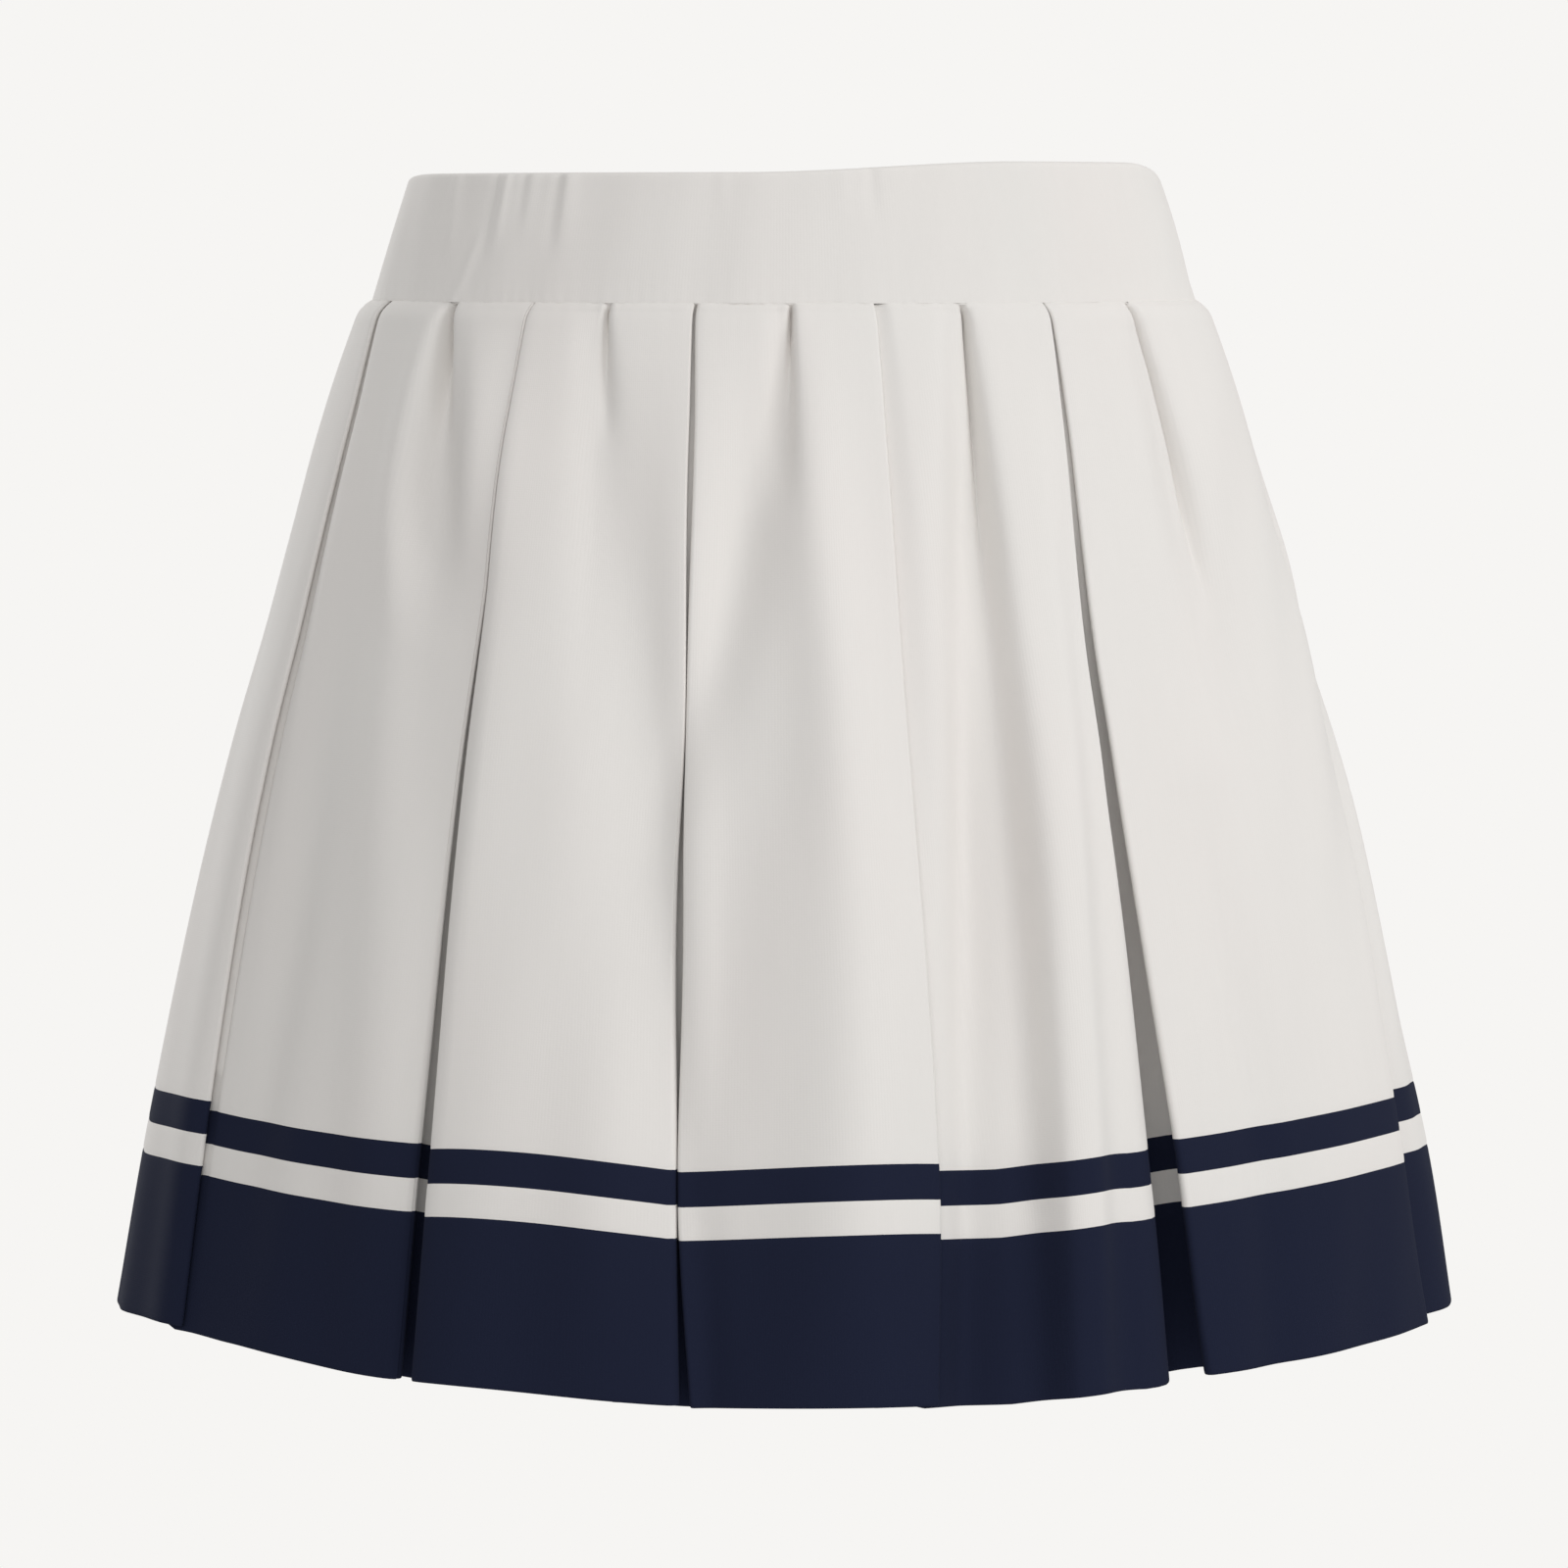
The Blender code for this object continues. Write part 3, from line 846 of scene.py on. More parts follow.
@dataclass(frozen=True)
class PleatedHalf:
    """The front or the back of the skirt below the waistband, pleated and sewn from four strips.

    Its rows run from the top down, and its columns anticlockwise seen from above.
    """

    half: Half
    seams: Pair
    pleats: tuple[Pleat, ...]
    creases: tuple[Crease, ...]
    strips: tuple[Strip, ...]
    seed: int
    panel_columns: int = 35
    crowding: float = 4.5
    crowd_width: float = 0.055
    waist_rows: int = 16
    waist_zone: float = 12.0 * MM
    join_rows: tuple[float, ...] = (0.0, 0.35 * MM, 0.9 * MM, 1.8 * MM)
    hem_turn: Triple = (0.97, 0.75, 0.25)
    ridge_reach: float = 10.0 * MM
    trough_reach: float = 5.0 * MM
    notch_reach: float = 1.2 * MM
    roll: float = 0.30 * MM
    roll_drop: float = 1.3 * MM
    roll_width: float = 0.8 * MM
    puckers: Puckers = Puckers(0.12 * MM, reach=7.0 * MM, pitch=5.5 * MM, wander=1.7, lengths=(0.037, 0.061))
    sway: Sway = Sway(0.22 * MM, count=8, across=(0.035, 0.10), down=(0.10, 0.40))
    sway_grows: float = 50.0 * MM
    sway_free: float = 30.0 * MM
    fold_lift: float = 0.15
    seam_dip: float = 0.9 * MM
    seam_dip_width: float = 2.2 * MM
    join_dip: float = 0.12 * MM
    join_width: float = 0.8 * MM

    WAIST_CROWDING = 1.5  # the power by which rows close up towards the waist seam
    SPREAD_STEPS = 401

    def drops(self) -> tuple[Array, list[tuple[int, int]]]:
        """The drops of every row, and the first and last row of each strip.

        Rows crowd at the waist seam, beside each join, and round the hem, where three rows turn its edge.
        """
        parts, spans, start = [], [], 0
        near = np.array(self.join_rows)
        for strip in self.strips:
            top, bottom = strip.drop_from, strip.drop_to
            if strip is self.strips[0]:
                upper = top + self.waist_zone * np.linspace(0.0, 1.0, self.waist_rows) ** self.WAIST_CROWDING
                inner = np.linspace(top + self.waist_zone, bottom - near[-1], strip.rows)[1:]
            else:
                upper = top + near[:-1]
                inner = np.linspace(top + near[-1], bottom - near[-1], strip.rows)
            drops = np.concatenate([upper, inner, bottom - near[-2::-1]])
            parts.append(drops[1:] if parts else drops)
            spans.append((start, start + len(drops) - 1))
            start += len(drops) - 1
        return np.concatenate(parts), spans

    def relief(self, form: Form, arc: Array) -> Array:
        """Everything soft that moves the whole stack of layers in or out.

        It is the sum of the creases, which grow from the waist seam as 1 - exp(-distance / reach) with a
        reach each for ridges, troughs and notches; a shallow dip along each side seam and join; a slow sway
        that dies away towards the waist seam and the side seams; the puckers that the waist seam draws in;
        and its roll.

        Args:
            form: the outlines of the rows.
            arc: (rows, columns) arcs.

        Returns:
            (rows, columns) levels to add.
        """
        below = form.drops - BAND_HEIGHT
        level = np.zeros_like(arc)
        for crease in self.creases:
            reach = self.ridge_reach if crease.heights[1] > 0.0 else self.trough_reach
            reach = self.notch_reach if crease.notch else reach
            level += crease.relief(form, arc) * (1.0 - np.exp(-below / reach))
        free = np.clip(below / self.sway_grows, 0.0, 1.0)
        for seam in self.seams:
            distance = arc - form.arc_at(seam)
            free = free * smooth(np.abs(distance) / self.sway_free)
            level -= self.seam_dip * bell(distance, self.seam_dip_width)
        for strip in self.strips[1:]:
            level -= self.join_dip * bell(form.drops - strip.drop_from, self.join_width)
        random = np.random.default_rng(self.seed)
        level += free * self.sway.over(random, arc, form.drops)
        level += self.puckers.over(arc, below, random.uniform(0.0, 6.0))
        return level + self.roll * bell(below - self.roll_drop, self.roll_width)

    def spread(self, form: Form, start: Array, end: Array) -> Array:
        """Shares from 0 to 1 for a panel's columns in each row, closer together along its crisp creases.

        Their density is 1 + crowding * exp(-((share - crease's) / crowd_width)^2), summed over the creases.

        Args:
            form: the outlines of the rows.
            start: the arc of the panel's left edge in each row.
            end: the arc of its right edge.

        Returns:
            (rows, columns) shares.
        """
        fine = np.linspace(0.0, 1.0, self.SPREAD_STEPS)
        density = np.ones((len(start), len(fine)))
        for crease in self.creases:
            at = (crease.line(form) - start) / (end - start)
            if crease.notch and 0.0 < at[0, 0] < 1.0:
                density += self.crowding * bell(fine - at, self.crowd_width)
        total = np.cumsum(density[:, 1:] + density[:, :-1], axis=1)
        total = np.concatenate([np.zeros((len(start), 1)), total], axis=1) / total[:, -1:]
        wanted = np.linspace(0.0, 1.0, self.panel_columns + 2)
        return np.stack([np.interp(wanted, row, fine) for row in total])

    def grid(self, drops: Array) -> Array:
        """The middle of the pleated cloth.

        Pleats are laid at their bearings. The panels between them, and beside the side seams, are filled with
        columns whose lift passes gently from one pleat's to the next one's, and is higher in the middle by
        the bow times 4 s (1 - s) at a share s of the way across. A fold that stands out is drawn up by
        fold_lift times its height.

        Args:
            drops: the drop of each row.

        Returns:
            (rows, columns, 3) points.
        """
        form = Form(SKIRT_SECTIONS, drops)
        first, last = (form.arc_at(seam) for seam in self.seams)
        zero = np.zeros_like(first)
        start, start_lift = first + JOIN / 2, zero
        runs: list[Run] = []
        groups = [*(pleat.runs(form) for pleat in self.pleats), []]
        bows = [(0.0, 0.0), *(pleat.bow for pleat in self.pleats)]
        for group, bow in zip(groups, bows):
            end = group[0].arc[:, :1] if group else last - JOIN / 2
            end_lift = group[0].lift[:, :1] if group else zero
            share = self.spread(form, start, end)[:, (1 if runs else 0) : (-1 if group else None)]
            rise = Pleat.lift(form.drops, bow) * 4.0 * share * (1.0 - share)
            lift = blend((start_lift, end_lift), smooth(share)) + rise
            runs += [Run(blend((start, end), share), zero, lift), *group]
            if group:
                start, start_lift = group[-1].arc[:, -1:], group[-1].lift[:, -1:]
        columns = zip(*(np.broadcast_arrays(run.arc, run.level, run.lift) for run in runs))
        arc, level, lift = (np.concatenate(parts, axis=1) for parts in columns)
        relief = self.relief(form, arc)
        return form.place(arc, level + relief, RIM_Z - form.drops + lift + self.fold_lift * relief)

    def build(self) -> None:
        drops, spans = self.drops()
        middle = self.grid(drops)
        normals, across = cloth_normals(middle), columns_across(middle)
        for strip, (top, bottom) in zip(self.strips, spans):
            rows = slice(top, bottom + 1)
            thickness = np.full(bottom + 1 - top, CLOTH)
            if strip is self.strips[-1]:
                thickness[-len(self.hem_turn) :] *= self.hem_turn
            cloth = Cloth(middle[rows], normals[rows], thickness, across, drops[rows])
            piece = cloth.dress(f"{strip.name}_{self.half.value}", strip.finish)
            width, height = strip.flat_width, strip.drop_to - strip.drop_from
            area = min(cloth.area, MOST_AREA * width * height)


@dataclass(frozen=True)
class Waistband:
    """One half of the waistband: a strip of cloth folded double over its elastic, with a rounded rim."""

    half: Half
    seams: Pair
    creases: tuple[Crease, ...]
    seed: int
    flat_width: float
    columns: int = 560
    wall: float = 3.0 * MM
    seam_rows: tuple[float, ...] = (0.03, 0.3, 0.7, 1.2, 1.6, 2.0, 2.5, 3.1, 3.8)
    face_rows: int = 14
    face_from: float = 5.0 * MM
    rim_steps: int = 9
    inside_rows: int = 12
    inside_end: float = 0.15 * MM
    inside_take: float = 0.6
    turn_in: float = 0.1 * MM
    turn_in_span: Pair = (BAND_HEIGHT - 0.7 * MM, BAND_HEIGHT - 0.1 * MM)
    turn_out: float = 0.558 * MM
    turn_out_span: Pair = (BAND_HEIGHT - 4.0 * MM, BAND_HEIGHT)
    rim_lift: float = 3.6 * MM
    rim_rises: Pair = (-7.0, 43.0)
    rim_falls: Pair = (68.0, 96.0)
    side_dip: float = 1.2 * MM
    side_dip_spread: float = 9.0
    sway: Sway = Sway(0.09 * MM, count=7, across=(0.018, 0.06), down=(0.06, 0.3))
    puckers: Puckers = Puckers(0.05 * MM, reach=5.0 * MM, pitch=4.6 * MM, wander=2.0, lengths=(0.043,))
    seam_dip: float = 0.8 * MM
    seam_dip_width: float = 1.8 * MM

    def profile(self) -> tuple[Array, Array, Array]:
        """The cloth's path from the waist seam up the outside, over the rim and down the inside.

        The rim is half a circle across the band's wall. At the waist seam the outside turns in a little, and
        the inside turns out to meet it.

        Returns:
            Drops, levels and how much of the outside's relief each point takes.
        """
        face, radius = CLOTH / 2, (self.wall - CLOTH) / 2
        crown = radius + face
        low = BAND_HEIGHT - np.array(self.seam_rows) * MM
        outer = np.concatenate([low, np.linspace(BAND_HEIGHT - self.face_from, crown, self.face_rows)])
        turn = np.linspace(0.0, math.pi, self.rim_steps)[1:-1]
        inner = np.linspace(crown, BAND_HEIGHT - self.inside_end, self.inside_rows)
        drops = [outer, crown - radius * np.sin(turn), inner]
        levels = [
            -face - self.turn_in * eased(outer, *self.turn_in_span),
            -face - radius * (1.0 - np.cos(turn)),
            face - self.wall + self.turn_out * eased(inner, *self.turn_out_span),
        ]
        over_rim = np.linspace(1.0, self.inside_take, len(turn))
        take = [np.ones(len(outer)), over_rim, np.full(len(inner), self.inside_take)]
        return np.concatenate(drops), np.concatenate(levels), np.concatenate(take)

    def relief(self, form: Form, arc: Array) -> Array:
        """The band's creases, its slow sway, the waist seam's puckers and a dip along each side seam.

        Args:
            form: the outlines of the rows.
            arc: (rows, columns) arcs.

        Returns:
            (rows, columns) levels to add.
        """
        relief = sum((crease.relief(form, arc) for crease in self.creases), np.zeros_like(arc))
        relief += self.sway.over(np.random.default_rng(self.seed), arc, form.drops)
        relief += self.puckers.over(arc, BAND_HEIGHT - form.drops)
        for seam in self.seams:
            relief -= self.seam_dip * bell(arc - form.arc_at(seam), self.seam_dip_width)
        return relief

    def lift(self, bearing: Array, drops: Array) -> Array:
        """How the rim rises on one side and dips at both seams, less and less down to the waist seam.

        Args:
            bearing: each column's bearing in degrees.
            drops: (rows, 1) drops.

        Returns:
            (rows, columns) lifts.
        """
        rise, fall = (eased(bearing, *span) for span in (self.rim_rises, self.rim_falls))
        from_side = np.minimum(np.abs(np.abs(bearing) - 90.0), np.abs(bearing - 270.0))
        rim = self.rim_lift * (rise - fall) - self.side_dip * bell(from_side, self.side_dip_spread)
        return rim * (1.0 - drops / BAND_HEIGHT)

    def build(self) -> None:
        """Its rows run from the seam up the outside, so its columns run clockwise to keep its normals outward.
        """
        drops, levels, take = self.profile()
        form = Form(BAND_SECTIONS, drops)
        start, end = (form.arc_at(seam) for seam in self.seams)
        share = np.linspace(0.0, 1.0, self.columns)
        arc = start + JOIN / 2 + (end - start - JOIN) * share
        level = levels[:, None] + self.relief(form, arc) * take[:, None]
        lift = self.lift(blend(self.seams, share), form.drops)
        grid = form.place(arc, level, RIM_Z - form.drops + lift)
        path = length_along(grid[:, self.columns // 2])
        middle, across = grid[:, ::-1], columns_across(grid)[::-1]
        cloth = Cloth(middle, cloth_normals(middle), np.full(len(drops), CLOTH), across, path)
        piece = cloth.dress(f"waistband_{self.half.value}", CREAM)


@dataclass(frozen=True)
class SoftLight:
    """A square soft light that looks at the middle of the skirt.

    Its azimuth is in degrees round from the front, + towards +X, and its elevation in degrees above the
    level. Its distance and its side are in metres, and its power in watts.
    """

    name: str
    azimuth: float
    elevation: float
    side: float
    power: float
    distance: float = 2.6

    AIM_HEIGHT = -0.15

    def build(self) -> None:
        """Adds the light, which the camera doesn't see."""
        data = bpy.data.lights.new(self.name, "AREA")
        data.energy, data.size = self.power, self.side
        light = add_object(self.name, data)
        light.visible_camera = False
        turn, rise = math.radians(self.azimuth), math.radians(self.elevation)
        level = self.distance * math.cos(rise)
        height = self.distance * math.sin(rise) + self.AIM_HEIGHT
        light.location = (level * math.sin(turn), -level * math.cos(turn), height)
        light.rotation_euler = (math.pi / 2 - rise, 0.0, turn)


LIGHTS = table(
    SoftLight,
    ("key", 55.0, 26.0, 1.2, 21.6),
    ("front", -2.0, 12.0, 1.6, 14.8),
    ("left_back", -145.0, 14.0, 1.2, 25.0),
    ("right_back", 125.0, 14.0, 1.2, 10.0),
)


@dataclass(frozen=True)
class Studio:
    """The camera, soft lights and plain pale surroundings."""

    distance: float = 2.06
    height: float = RIM_Z - 0.0183
    pitch: float = math.degrees(math.atan(565.0 / 6350.0))
    sensor: float = 36.0
    lens: float = 36.0 * 6350.0 / 1600.0
    clip: Pair = (0.05, 100.0)
    floor_drop: float = 0.75
    floor_size: float = 30.0
    floor_grey: tuple[float, ...] = (0.45, 0.45, 0.45, 1.0)
    backdrop: Triple = (0.923, 0.913, 0.896)
    world_light: float = 0.57
    lights: tuple[SoftLight, ...] = LIGHTS

    def build(self) -> None:
        """Sets up everything that isn't the skirt."""
        scene = bpy.context.scene
        scene.view_settings.view_transform = "Standard"
        data = bpy.data.cameras.new("camera")
        data.lens, data.sensor_width = self.lens, self.sensor
        data.clip_start, data.clip_end = self.clip
        camera = add_object("camera", data)
        camera.location = (0.0, -self.distance, self.height)
        camera.rotation_euler = (math.radians(90.0 - self.pitch), 0.0, 0.0)
        scene.camera = camera
        self.world()
        self.floor()
        for light in self.lights:
            light.build()

    @staticmethod
    def show(seen: Socket, lit: Socket, output: str) -> None:
        """Lets the camera see one shader while every other ray meets another.

        Args:
            seen: the shader for the camera.
            lit: the shader for the other rays.
            output: the name of the node that takes their mix.
        """
        tree = seen.id_data
        rays = add_node(tree, "LightPath", {})
        choice = add_node(tree, "MixShader", {"Fac": rays.outputs["Is Camera Ray"], 1: lit, 2: seen})
        fill(tree.nodes[output], {"Surface": choice.outputs["Shader"]})

    def world(self) -> None:
        """A pale world, white to the rays that light the cloth."""
        world = bpy.data.worlds.new("surroundings")
        world.use_nodes = True
        bpy.context.scene.world = world
        tree = world.node_tree
        seen = fill(tree.nodes["Background"], {"Color": (*self.backdrop, 1.0), "Strength": 1.0})
        lit = add_node(tree, "Background", {"Color": (1.0, 1.0, 1.0, 1.0), "Strength": self.world_light})
        self.show(seen.outputs["Background"], lit.outputs["Background"], "World Output")

    def floor(self) -> None:
        """A floor that the camera sees in the world's pale tone, so that it shows no horizon."""
        side, low = self.floor_size / 2, RIM_Z - self.floor_drop
        mesh = bpy.data.meshes.new("floor")
        corners = ((-side, -side), (side, -side), (side, side), (-side, side))
        mesh.from_pydata([(x, y, low) for x, y in corners], [], [(0, 1, 2, 3)])
        material = bpy.data.materials.new("pale_floor")
        material.use_nodes = True
        tree = material.node_tree
        lit = fill(tree.nodes["Principled BSDF"], {"Base Color": self.floor_grey, "Roughness": 1.0})
        seen = add_node(tree, "Emission", {"Color": (*self.backdrop, 1.0)})
        self.show(seen.outputs["Emission"], lit.outputs["BSDF"], "Material Output")
        mesh.materials.append(material)
        add_object("floor", mesh)


SEAM = BAND_HEIGHT

FRONT_PLEATS = (
    Pleat(
        Way.LEFT_OVER_RIGHT, (-72.0, -68.2, -66.4, -62.4, -60.7), (9, 21), (1.05, 0.95), (4.3, 5.0),
        (0.9, 3.2), hollow=5,
    ),
    Pleat(
        Way.INVERTED, (-35.7, -34.6, -33.8, -32.3, -32.3), (9, 23), (0.87, 2.4), (0.5, 0.2), (-0.7, 0.5),
        bow=(2.0, 0.6), gap=(0.1, 0.3, 1.6, 3.0, 5.2, 6.4), roll=1.5, hollow=10,
    ),
    Pleat(
        Way.INVERTED, (-11.8, -11.0, -10.4, -9.5, -8.2), (9, 21), (2.0, 2.4), (-2.8, -1.3), (-3.4, -2.0),
        bow=(1.0, 0.5), gap=(0.8, 1.7, 0.1, 2.6, 0.2, 3.2), roll=1, hollow=5,
    ),
    Pleat(
        Way.LEFT_OVER_RIGHT, (11.9, 12.0, 12.3, 13.1, 12.3), (9, 21), (0.9, 1.5), (-1.3, -1.7), (-3.9, -2.8),
        bow=(0.6, 0.8),
    ),
    Pleat(
        Way.INVERTED, (37.4, 35.9, 34.2, 34.75, 35.5), (9, 24), (1.1, 3.2), (-1.8, -1.6), (1.0, 0.0),
        bow=(0.6, 0.0), gap=(0.3, 2.2, 3.8, 5.2, 7.8, 11.0), roll=8, hollow=28,
    ),
    Pleat(Way.LEFT_OVER_RIGHT, (84.0, 83.5, 82.0, 71.7, 71.7), (8, 19), (1.1, 2.2), (2.4, 1.2), (3.8, 2.8)),
)
BACK_PLEATS = (
    Pleat(Way.RIGHT_OVER_LEFT, (113.0, 113.0, 113.0, 114.0, 114.0), (8, 20), (1.1, 2.2), (1, 0), (3, 3)),
    Pleat(
        Way.INVERTED, (141.0, 142.6, 145.0, 147.0, 147.5), (9, 23), (1.1, 3.0), (0, 1), (-1.5, 0),
        bow=(1.0, 0.4), gap=(0.2, 1.2, 2.0, 3.0, 4.8, 7.0), roll=4, hollow=7,
    ),
    Pleat(Way.RIGHT_OVER_LEFT, (166.0, 166.8, 168.0, 169.0, 169.5), (9, 21), (0.9, 1.6), (-3, -1), (-1.5, 1)),
    Pleat(
        Way.INVERTED, (189.5, 189.9, 190.5, 190.0, 190.0), (9, 22), (1.1, 3.0), (-3.5, 0), (-2.5, 1),
        bow=(0.8, 0.4), gap=(0.6, 0.7, 0.8, 2.2, 1.2, 4.0), roll=2, hollow=5,
    ),
    Pleat(Way.LEFT_OVER_RIGHT, (215.0, 214.7, 214.0, 213.0, 212.5), (9, 21), (0.9, 1.8), (0, 1), (-2.5, -1)),
    Pleat(
        Way.INVERTED, (250.0, 249.5, 248.5, 247.5, 248.0), (9, 22), (1.1, 3.0), (2, 2.5), (0, 0),
        gap=(0.1, 0.5, 1.4, 2.4, 4.2, 6.0), roll=3, hollow=6,
    ),
)

FRONT_CREASES = table(
    Crease,
    # the five tucks at the waist seam: a crisp notch each, and the soft trough that it opens into
    (SEAM, 0.085, (-51.2, -49.9, -47.0), (-7.2, -5.0, 0), (1.1, 2.2), (1.5, 6)),
    (SEAM, 0.085, (-24.1, -22.8, -21.4), (-3.6, -2.4, 0), (0.9, 3), (1.1, 4)),
    (SEAM, 0.100, (1.0, 0.9, 0.6), (-5.4, -3.0, 0), (1.0, 3.5), (0.8, 2.0)),
    (SEAM, 0.150, (24.5, 24.1, 23.4), (-4.4, -3.8, 0), (1.2, 2.6), (0.9, 2)),
    (SEAM, 0.140, (54.0, 55.5, 55.0), (-6.0, -5.0, 0), (0.9, 2.2), (0.9, 2.2)),
    (SEAM, 0.150, (-51.0, -45.2, -40.2), (-4.1, -5.4, 0), (3.0, 13), (2.5, 16)),
    (SEAM, 0.190, (-24.9, -21.6, -19.8), (-2.4, -2.2, 0), (6.0, 10), (2.7, 24)),
    (SEAM, 0.110, (0.0, -0.3, -0.2), (-3.2, -3.4, 0), (3.3, 6), (2.4, 5)),
    (SEAM, 0.150, (22.5, 21.6, 21.1), (-2.6, -4.4, 0), (3.2, 11), (9.1, 5)),
    (SEAM, 0.190, (52.6, 53.4, 49.3), (-1.7, -6.0, 0), (6.5, 17), (4.4, 10)),
    # the ridges beside them
    (SEAM, 0.150, (-54.0, -51.6, -46.0), (0.8, 3.0, 0), (6.0, 10), (3.2, 8)),
    (SEAM, 0.130, (-44.7, -38.9, -37.4), (0.8, 4.1, 0), (4.7, 7), (14.5, 15)),
    # the rounded edge of the first pleat
    (0.060, HEM_DROP, (-72.0, -67.0, -63.2), (0, 2.2, 2.6), (14, 18), (5, 7)),
    # the long soft folds down to the hem
    (0.110, HEM_DROP, (-58.1, -54.8, -55.3), (0, -4.4, 0), (16.0, 24), (13.7, 20)),
    (0.090, HEM_DROP, (-51.3, -40.8, -37.5), (0, 4.4, 0), (15.9, 10), (8.9, 24)),
    (SEAM, HEM_DROP, (-34.3, -30.8, -29.8), (0.8, 5.5, 3.2), (3.5, 6), (16.0, 21)),
    (0.060, HEM_DROP, (-18.5, -12.1, -6.8), (0, -8.5, -3.8), (16.0, 21), (13.8, 8)),
    (0.044, 0.210, (-1.0, -5.5, -12.3), (0, -7.9, 0), (14.6, 8), (9.3, 15)),
    (SEAM, HEM_DROP, (1.9, 6.2, 6.0), (0.8, 8.2, 6.0), (6.4, 24), (8.8, 19)),
    (0.150, HEM_DROP, (-5.3, -5.4, -5.6), (0, -4.9, -6.0), (9.4, 10), (16.0, 20)),
    (0.050, HEM_DROP, (23.3, 18.3, 15.6), (0, -10.2, -8.8), (7.6, 9), (7.4, 16)),
    (0.060, HEM_DROP, (31.6, 27.3, 24.8), (0, 9.0, 8.0), (12.2, 16), (5.4, 10)),
    (SEAM, HEM_DROP, (24.5, 23.0, 21.2), (-1.7, -5.6, -4.2), (3.2, 9.0), (2.0, 4.5)),
    (SEAM, HEM_DROP, (25.0, 24.2, 23.2), (0.5, 3.4, 2.2), (2.0, 4.5), (6.0, 12)),
    (0.190, HEM_DROP, (45.9, 46.4, 45.0), (0, -3.4, -2.4), (12.2, 12), (6, 8)),
)
BACK_CREASES = table(
    Crease,
    # the five tucks at the waist seam, as in front
    (SEAM, 0.085, (127.0, 127.4, 128.0), (-4.6, -3.0, 0), (1.0, 3), (0.9, 3)),
    (SEAM, 0.095, (154.0, 154.6, 155.4), (-5.0, -3.2, 0), (0.9, 3), (1.1, 4)),
    (SEAM, 0.080, (178.0, 178.2, 178.6), (-4.2, -2.6, 0), (0.9, 3), (0.9, 3)),
    (SEAM, 0.110, (202.5, 202.2, 201.6), (-4.8, -3.0, 0), (1.1, 3), (0.9, 3)),
    (SEAM, 0.090, (231.0, 230.4, 229.6), (-5.2, -3.4, 0), (1.2, 4), (1.0, 3)),
    (SEAM, 0.170, (127.0, 129.5, 133.0), (-2.7, -5.0, 0), (4.0, 12), (5.0, 16)),
    (SEAM, 0.190, (154.0, 156.0, 158.5), (-2.8, -4.4, 0), (4.0, 12), (5.0, 18)),
    (SEAM, 0.150, (178.0, 178.6, 179.5), (-3.0, -3.4, 0), (3.0, 10), (3.0, 10)),
    (SEAM, 0.170, (202.5, 200.4, 198.0), (-2.8, -4.2, 0), (5.0, 14), (4.0, 10)),
    (SEAM, 0.180, (231.0, 228.4, 226.0), (-2.8, -5.2, 0), (5.0, 15), (4.0, 12)),
    # the ridges beside them
    (SEAM, 0.180, (122.5, 123.0, 124.0), (0.8, 4.2, 0), (6.0, 10), (4.0, 8)),
    (SEAM, 0.180, (158.5, 162.0, 163.0), (0.8, 3.6, 0), (4.0, 8), (6.0, 12)),
    (SEAM, 0.200, (207.0, 208.0, 209.0), (0.8, 4.0, 0), (4.0, 10), (6.0, 12)),
    # the long soft folds down to the hem
    (0.090, HEM_DROP, (119.0, 124.0, 126.0), (0, -5.0, -4.2), (13.0, 18), (12.0, 20)),
    (0.070, HEM_DROP, (131.0, 135.0, 137.0), (0, 6.4, 5.6), (10.0, 16), (9.0, 13)),
    (0.070, HEM_DROP, (150.5, 154.0, 156.0), (0, -7.8, -5.8), (12.0, 18), (9.0, 13)),
    (0.100, HEM_DROP, (172.0, 174.5, 176.0), (0, 7.0, 6.2), (8.0, 15), (8.0, 16)),
    (0.060, HEM_DROP, (184.5, 187.0, 188.5), (0, -7.6, -5.4), (13.0, 18), (8.0, 12)),
    (SEAM, HEM_DROP, (196.0, 199.0, 200.5), (0.8, 6.4, 6.0), (6.0, 12), (8.0, 20)),
    (0.080, HEM_DROP, (220.0, 222.0, 222.5), (0, -7.2, -5.6), (9.0, 18), (9.0, 16)),
    (0.080, HEM_DROP, (235.0, 236.5, 237.0), (0, 5.8, 5.0), (9.0, 15), (8.0, 14)),
)
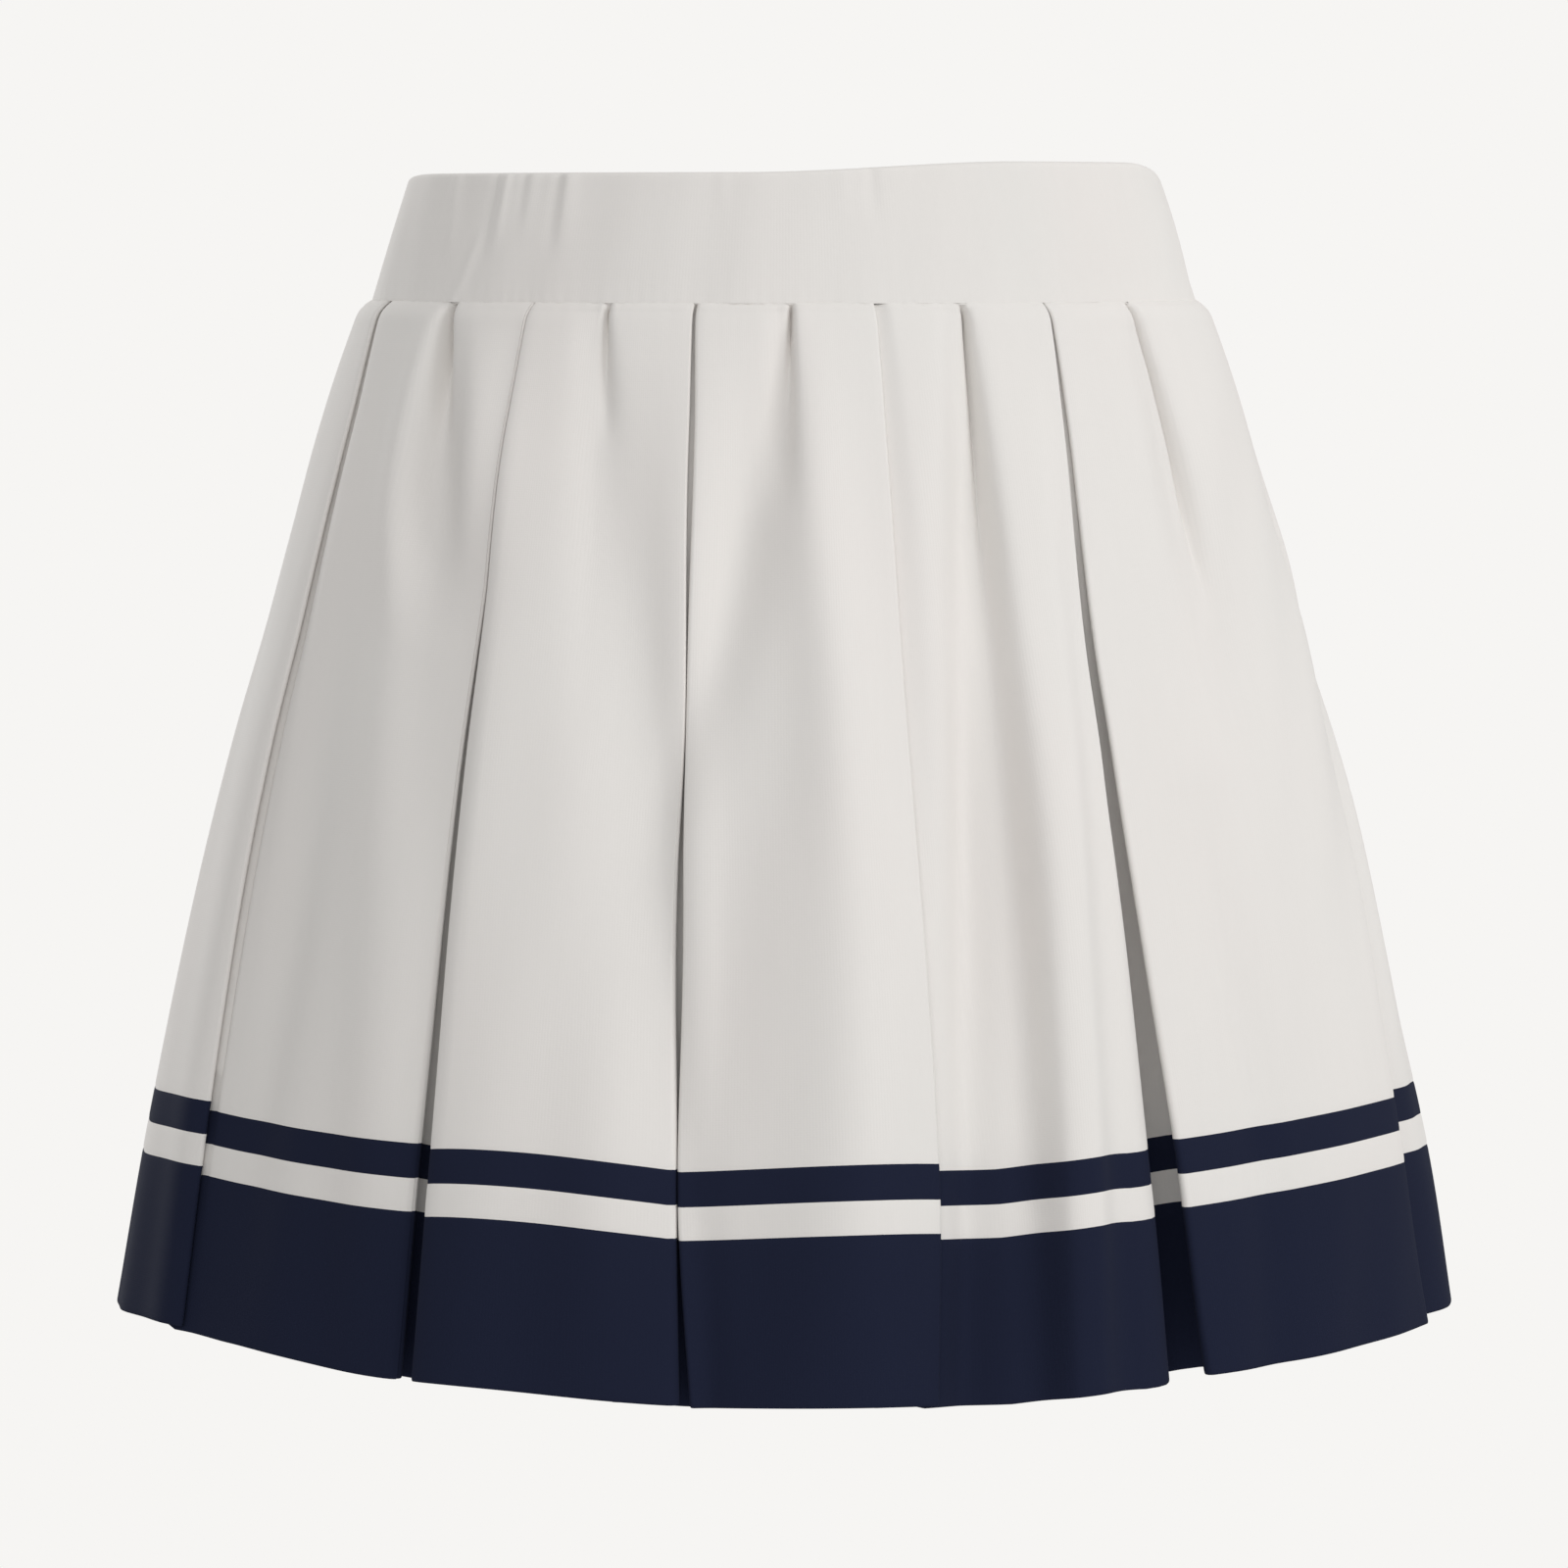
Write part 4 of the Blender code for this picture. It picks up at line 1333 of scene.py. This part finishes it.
FRONT_BAND_CREASES = table(
    Crease,
    (-0.002, 0.030, (-58.5, -56.5, -54.5), (0.8, 0.6, 0), (2.6, 3.5), (2.6, 3.5)),
    (-0.002, 0.030, (-47.9, -47.6, -47.3), (-0.65, -0.5, 0), (2.2, 2.8), (1.3, 2.0)),
    (-0.002, 0.027, (-45.4, -45.0, -44.8), (0.9, 0.7, 0), (1.5, 2.4), (1.6, 2.4)),
    (-0.002, 0.019, (-41.9, -41.6, -41.4), (-0.5, -0.35, 0), (1.6, 2.4), (1.4, 2.0)),
    (-0.002, 0.022, (-40.0, -39.8, -39.4), (0.4, 0.3, 0), (1.5, 2.0), (2.4, 3.0)),
    (-0.002, 0.028, (-35.4, -35.2, -35.0), (-0.5, -0.45, 0), (1.8, 2.6), (1.5, 2.4)),
    (-0.002, 0.026, (-33.6, -33.2, -32.8), (0.8, 0.6, 0), (1.3, 2.2), (3.0, 5.0)),
    (0.014, 0.042, (-47.8, -49.5, -51.5), (0, 0.6, 0.4), (1.8, 2.4), (1.8, 2.4)),
    (-0.002, 0.018, (8.5, 8.5, 8.5), (0.35, 0.25, 0), (3.0, 4.0), (2.4, 3.4)),
    (-0.002, 0.018, (12.9, 12.9, 12.9), (-0.6, -0.5, 0), (2.4, 3.4), (1.8, 2.8)),
    (-0.002, 0.014, (-9.0, -9.0, -9.0), (0.25, 0.2, 0), (2.0, 3.0), (2.0, 3.0)),
)
BACK_BAND_CREASES = table(
    Crease,
    (-0.002, 0.028, (124.0, 124.6, 125.0), (0.8, 0.6, 0), (1.8, 2.6), (1.8, 2.6)),
    (-0.002, 0.022, (131.0, 131.0, 131.4), (0.6, 0.4, 0), (1.6, 2.2), (1.6, 2.4)),
    (-0.002, 0.032, (163.0, 162.0, 161.0), (-0.6, -0.5, 0), (3.0, 4.0), (2.4, 3.4)),
    (0.012, 0.042, (186.0, 187.0, 188.0), (0, 0.4, 0.3), (2.4, 3.0), (2.4, 3.0)),
    (-0.002, 0.030, (205.0, 206.0, 208.0), (0.9, 0.7, 0), (2.0, 2.8), (1.8, 2.6)),
    (-0.002, 0.022, (213.0, 213.4, 214.0), (0.5, 0.4, 0), (1.6, 2.2), (1.6, 2.4)),
    (-0.002, 0.030, (240.0, 239.0, 238.0), (-0.7, -0.5, 0), (3.0, 4.0), (2.6, 3.6)),
)


def strips(widths: tuple[float, float, float, float]) -> tuple[Strip, ...]:
    """The four pieces of a half from the top down, with the widths they are cut to."""
    return (
        Strip("skirt", SEAM, UPPER_STRIPE_DROP, 62, CREAM, widths[0]),
        Strip("upper_stripe", UPPER_STRIPE_DROP, LOWER_STRIPE_DROP, 5, NAVY, widths[1]),
        Strip("lower_stripe", LOWER_STRIPE_DROP, HEM_BAND_DROP, 5, CREAM, widths[2]),
        Strip("hem_band", HEM_BAND_DROP, HEM_DROP, 14, NAVY, widths[3]),
    )


def main() -> None:
    """Dresses the skirt and sets up the studio."""
    logging.basicConfig(level=logging.INFO, format="%(message)s")
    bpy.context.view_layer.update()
    seams = {Half.FRONT: (-98.0, 98.0), Half.BACK: (98.0, 262.0)}
    front = strips((1.07, 1.085, 1.10, 1.16))
    back = strips((0.94, 0.955, 0.97, 1.03))
    halves = (
        PleatedHalf(Half.FRONT, seams[Half.FRONT], FRONT_PLEATS, FRONT_CREASES, front, seed=11),
        PleatedHalf(Half.BACK, seams[Half.BACK], BACK_PLEATS, BACK_CREASES, back, seed=23),
    )
    bands = (
        Waistband(Half.FRONT, seams[Half.FRONT], FRONT_BAND_CREASES, seed=5, flat_width=0.40),
        Waistband(Half.BACK, seams[Half.BACK], BACK_BAND_CREASES, seed=7, flat_width=0.345),
    )
    for part in (*bands, *halves):
        part.build()
    Studio().build()


if __name__ == "__main__":
    main()
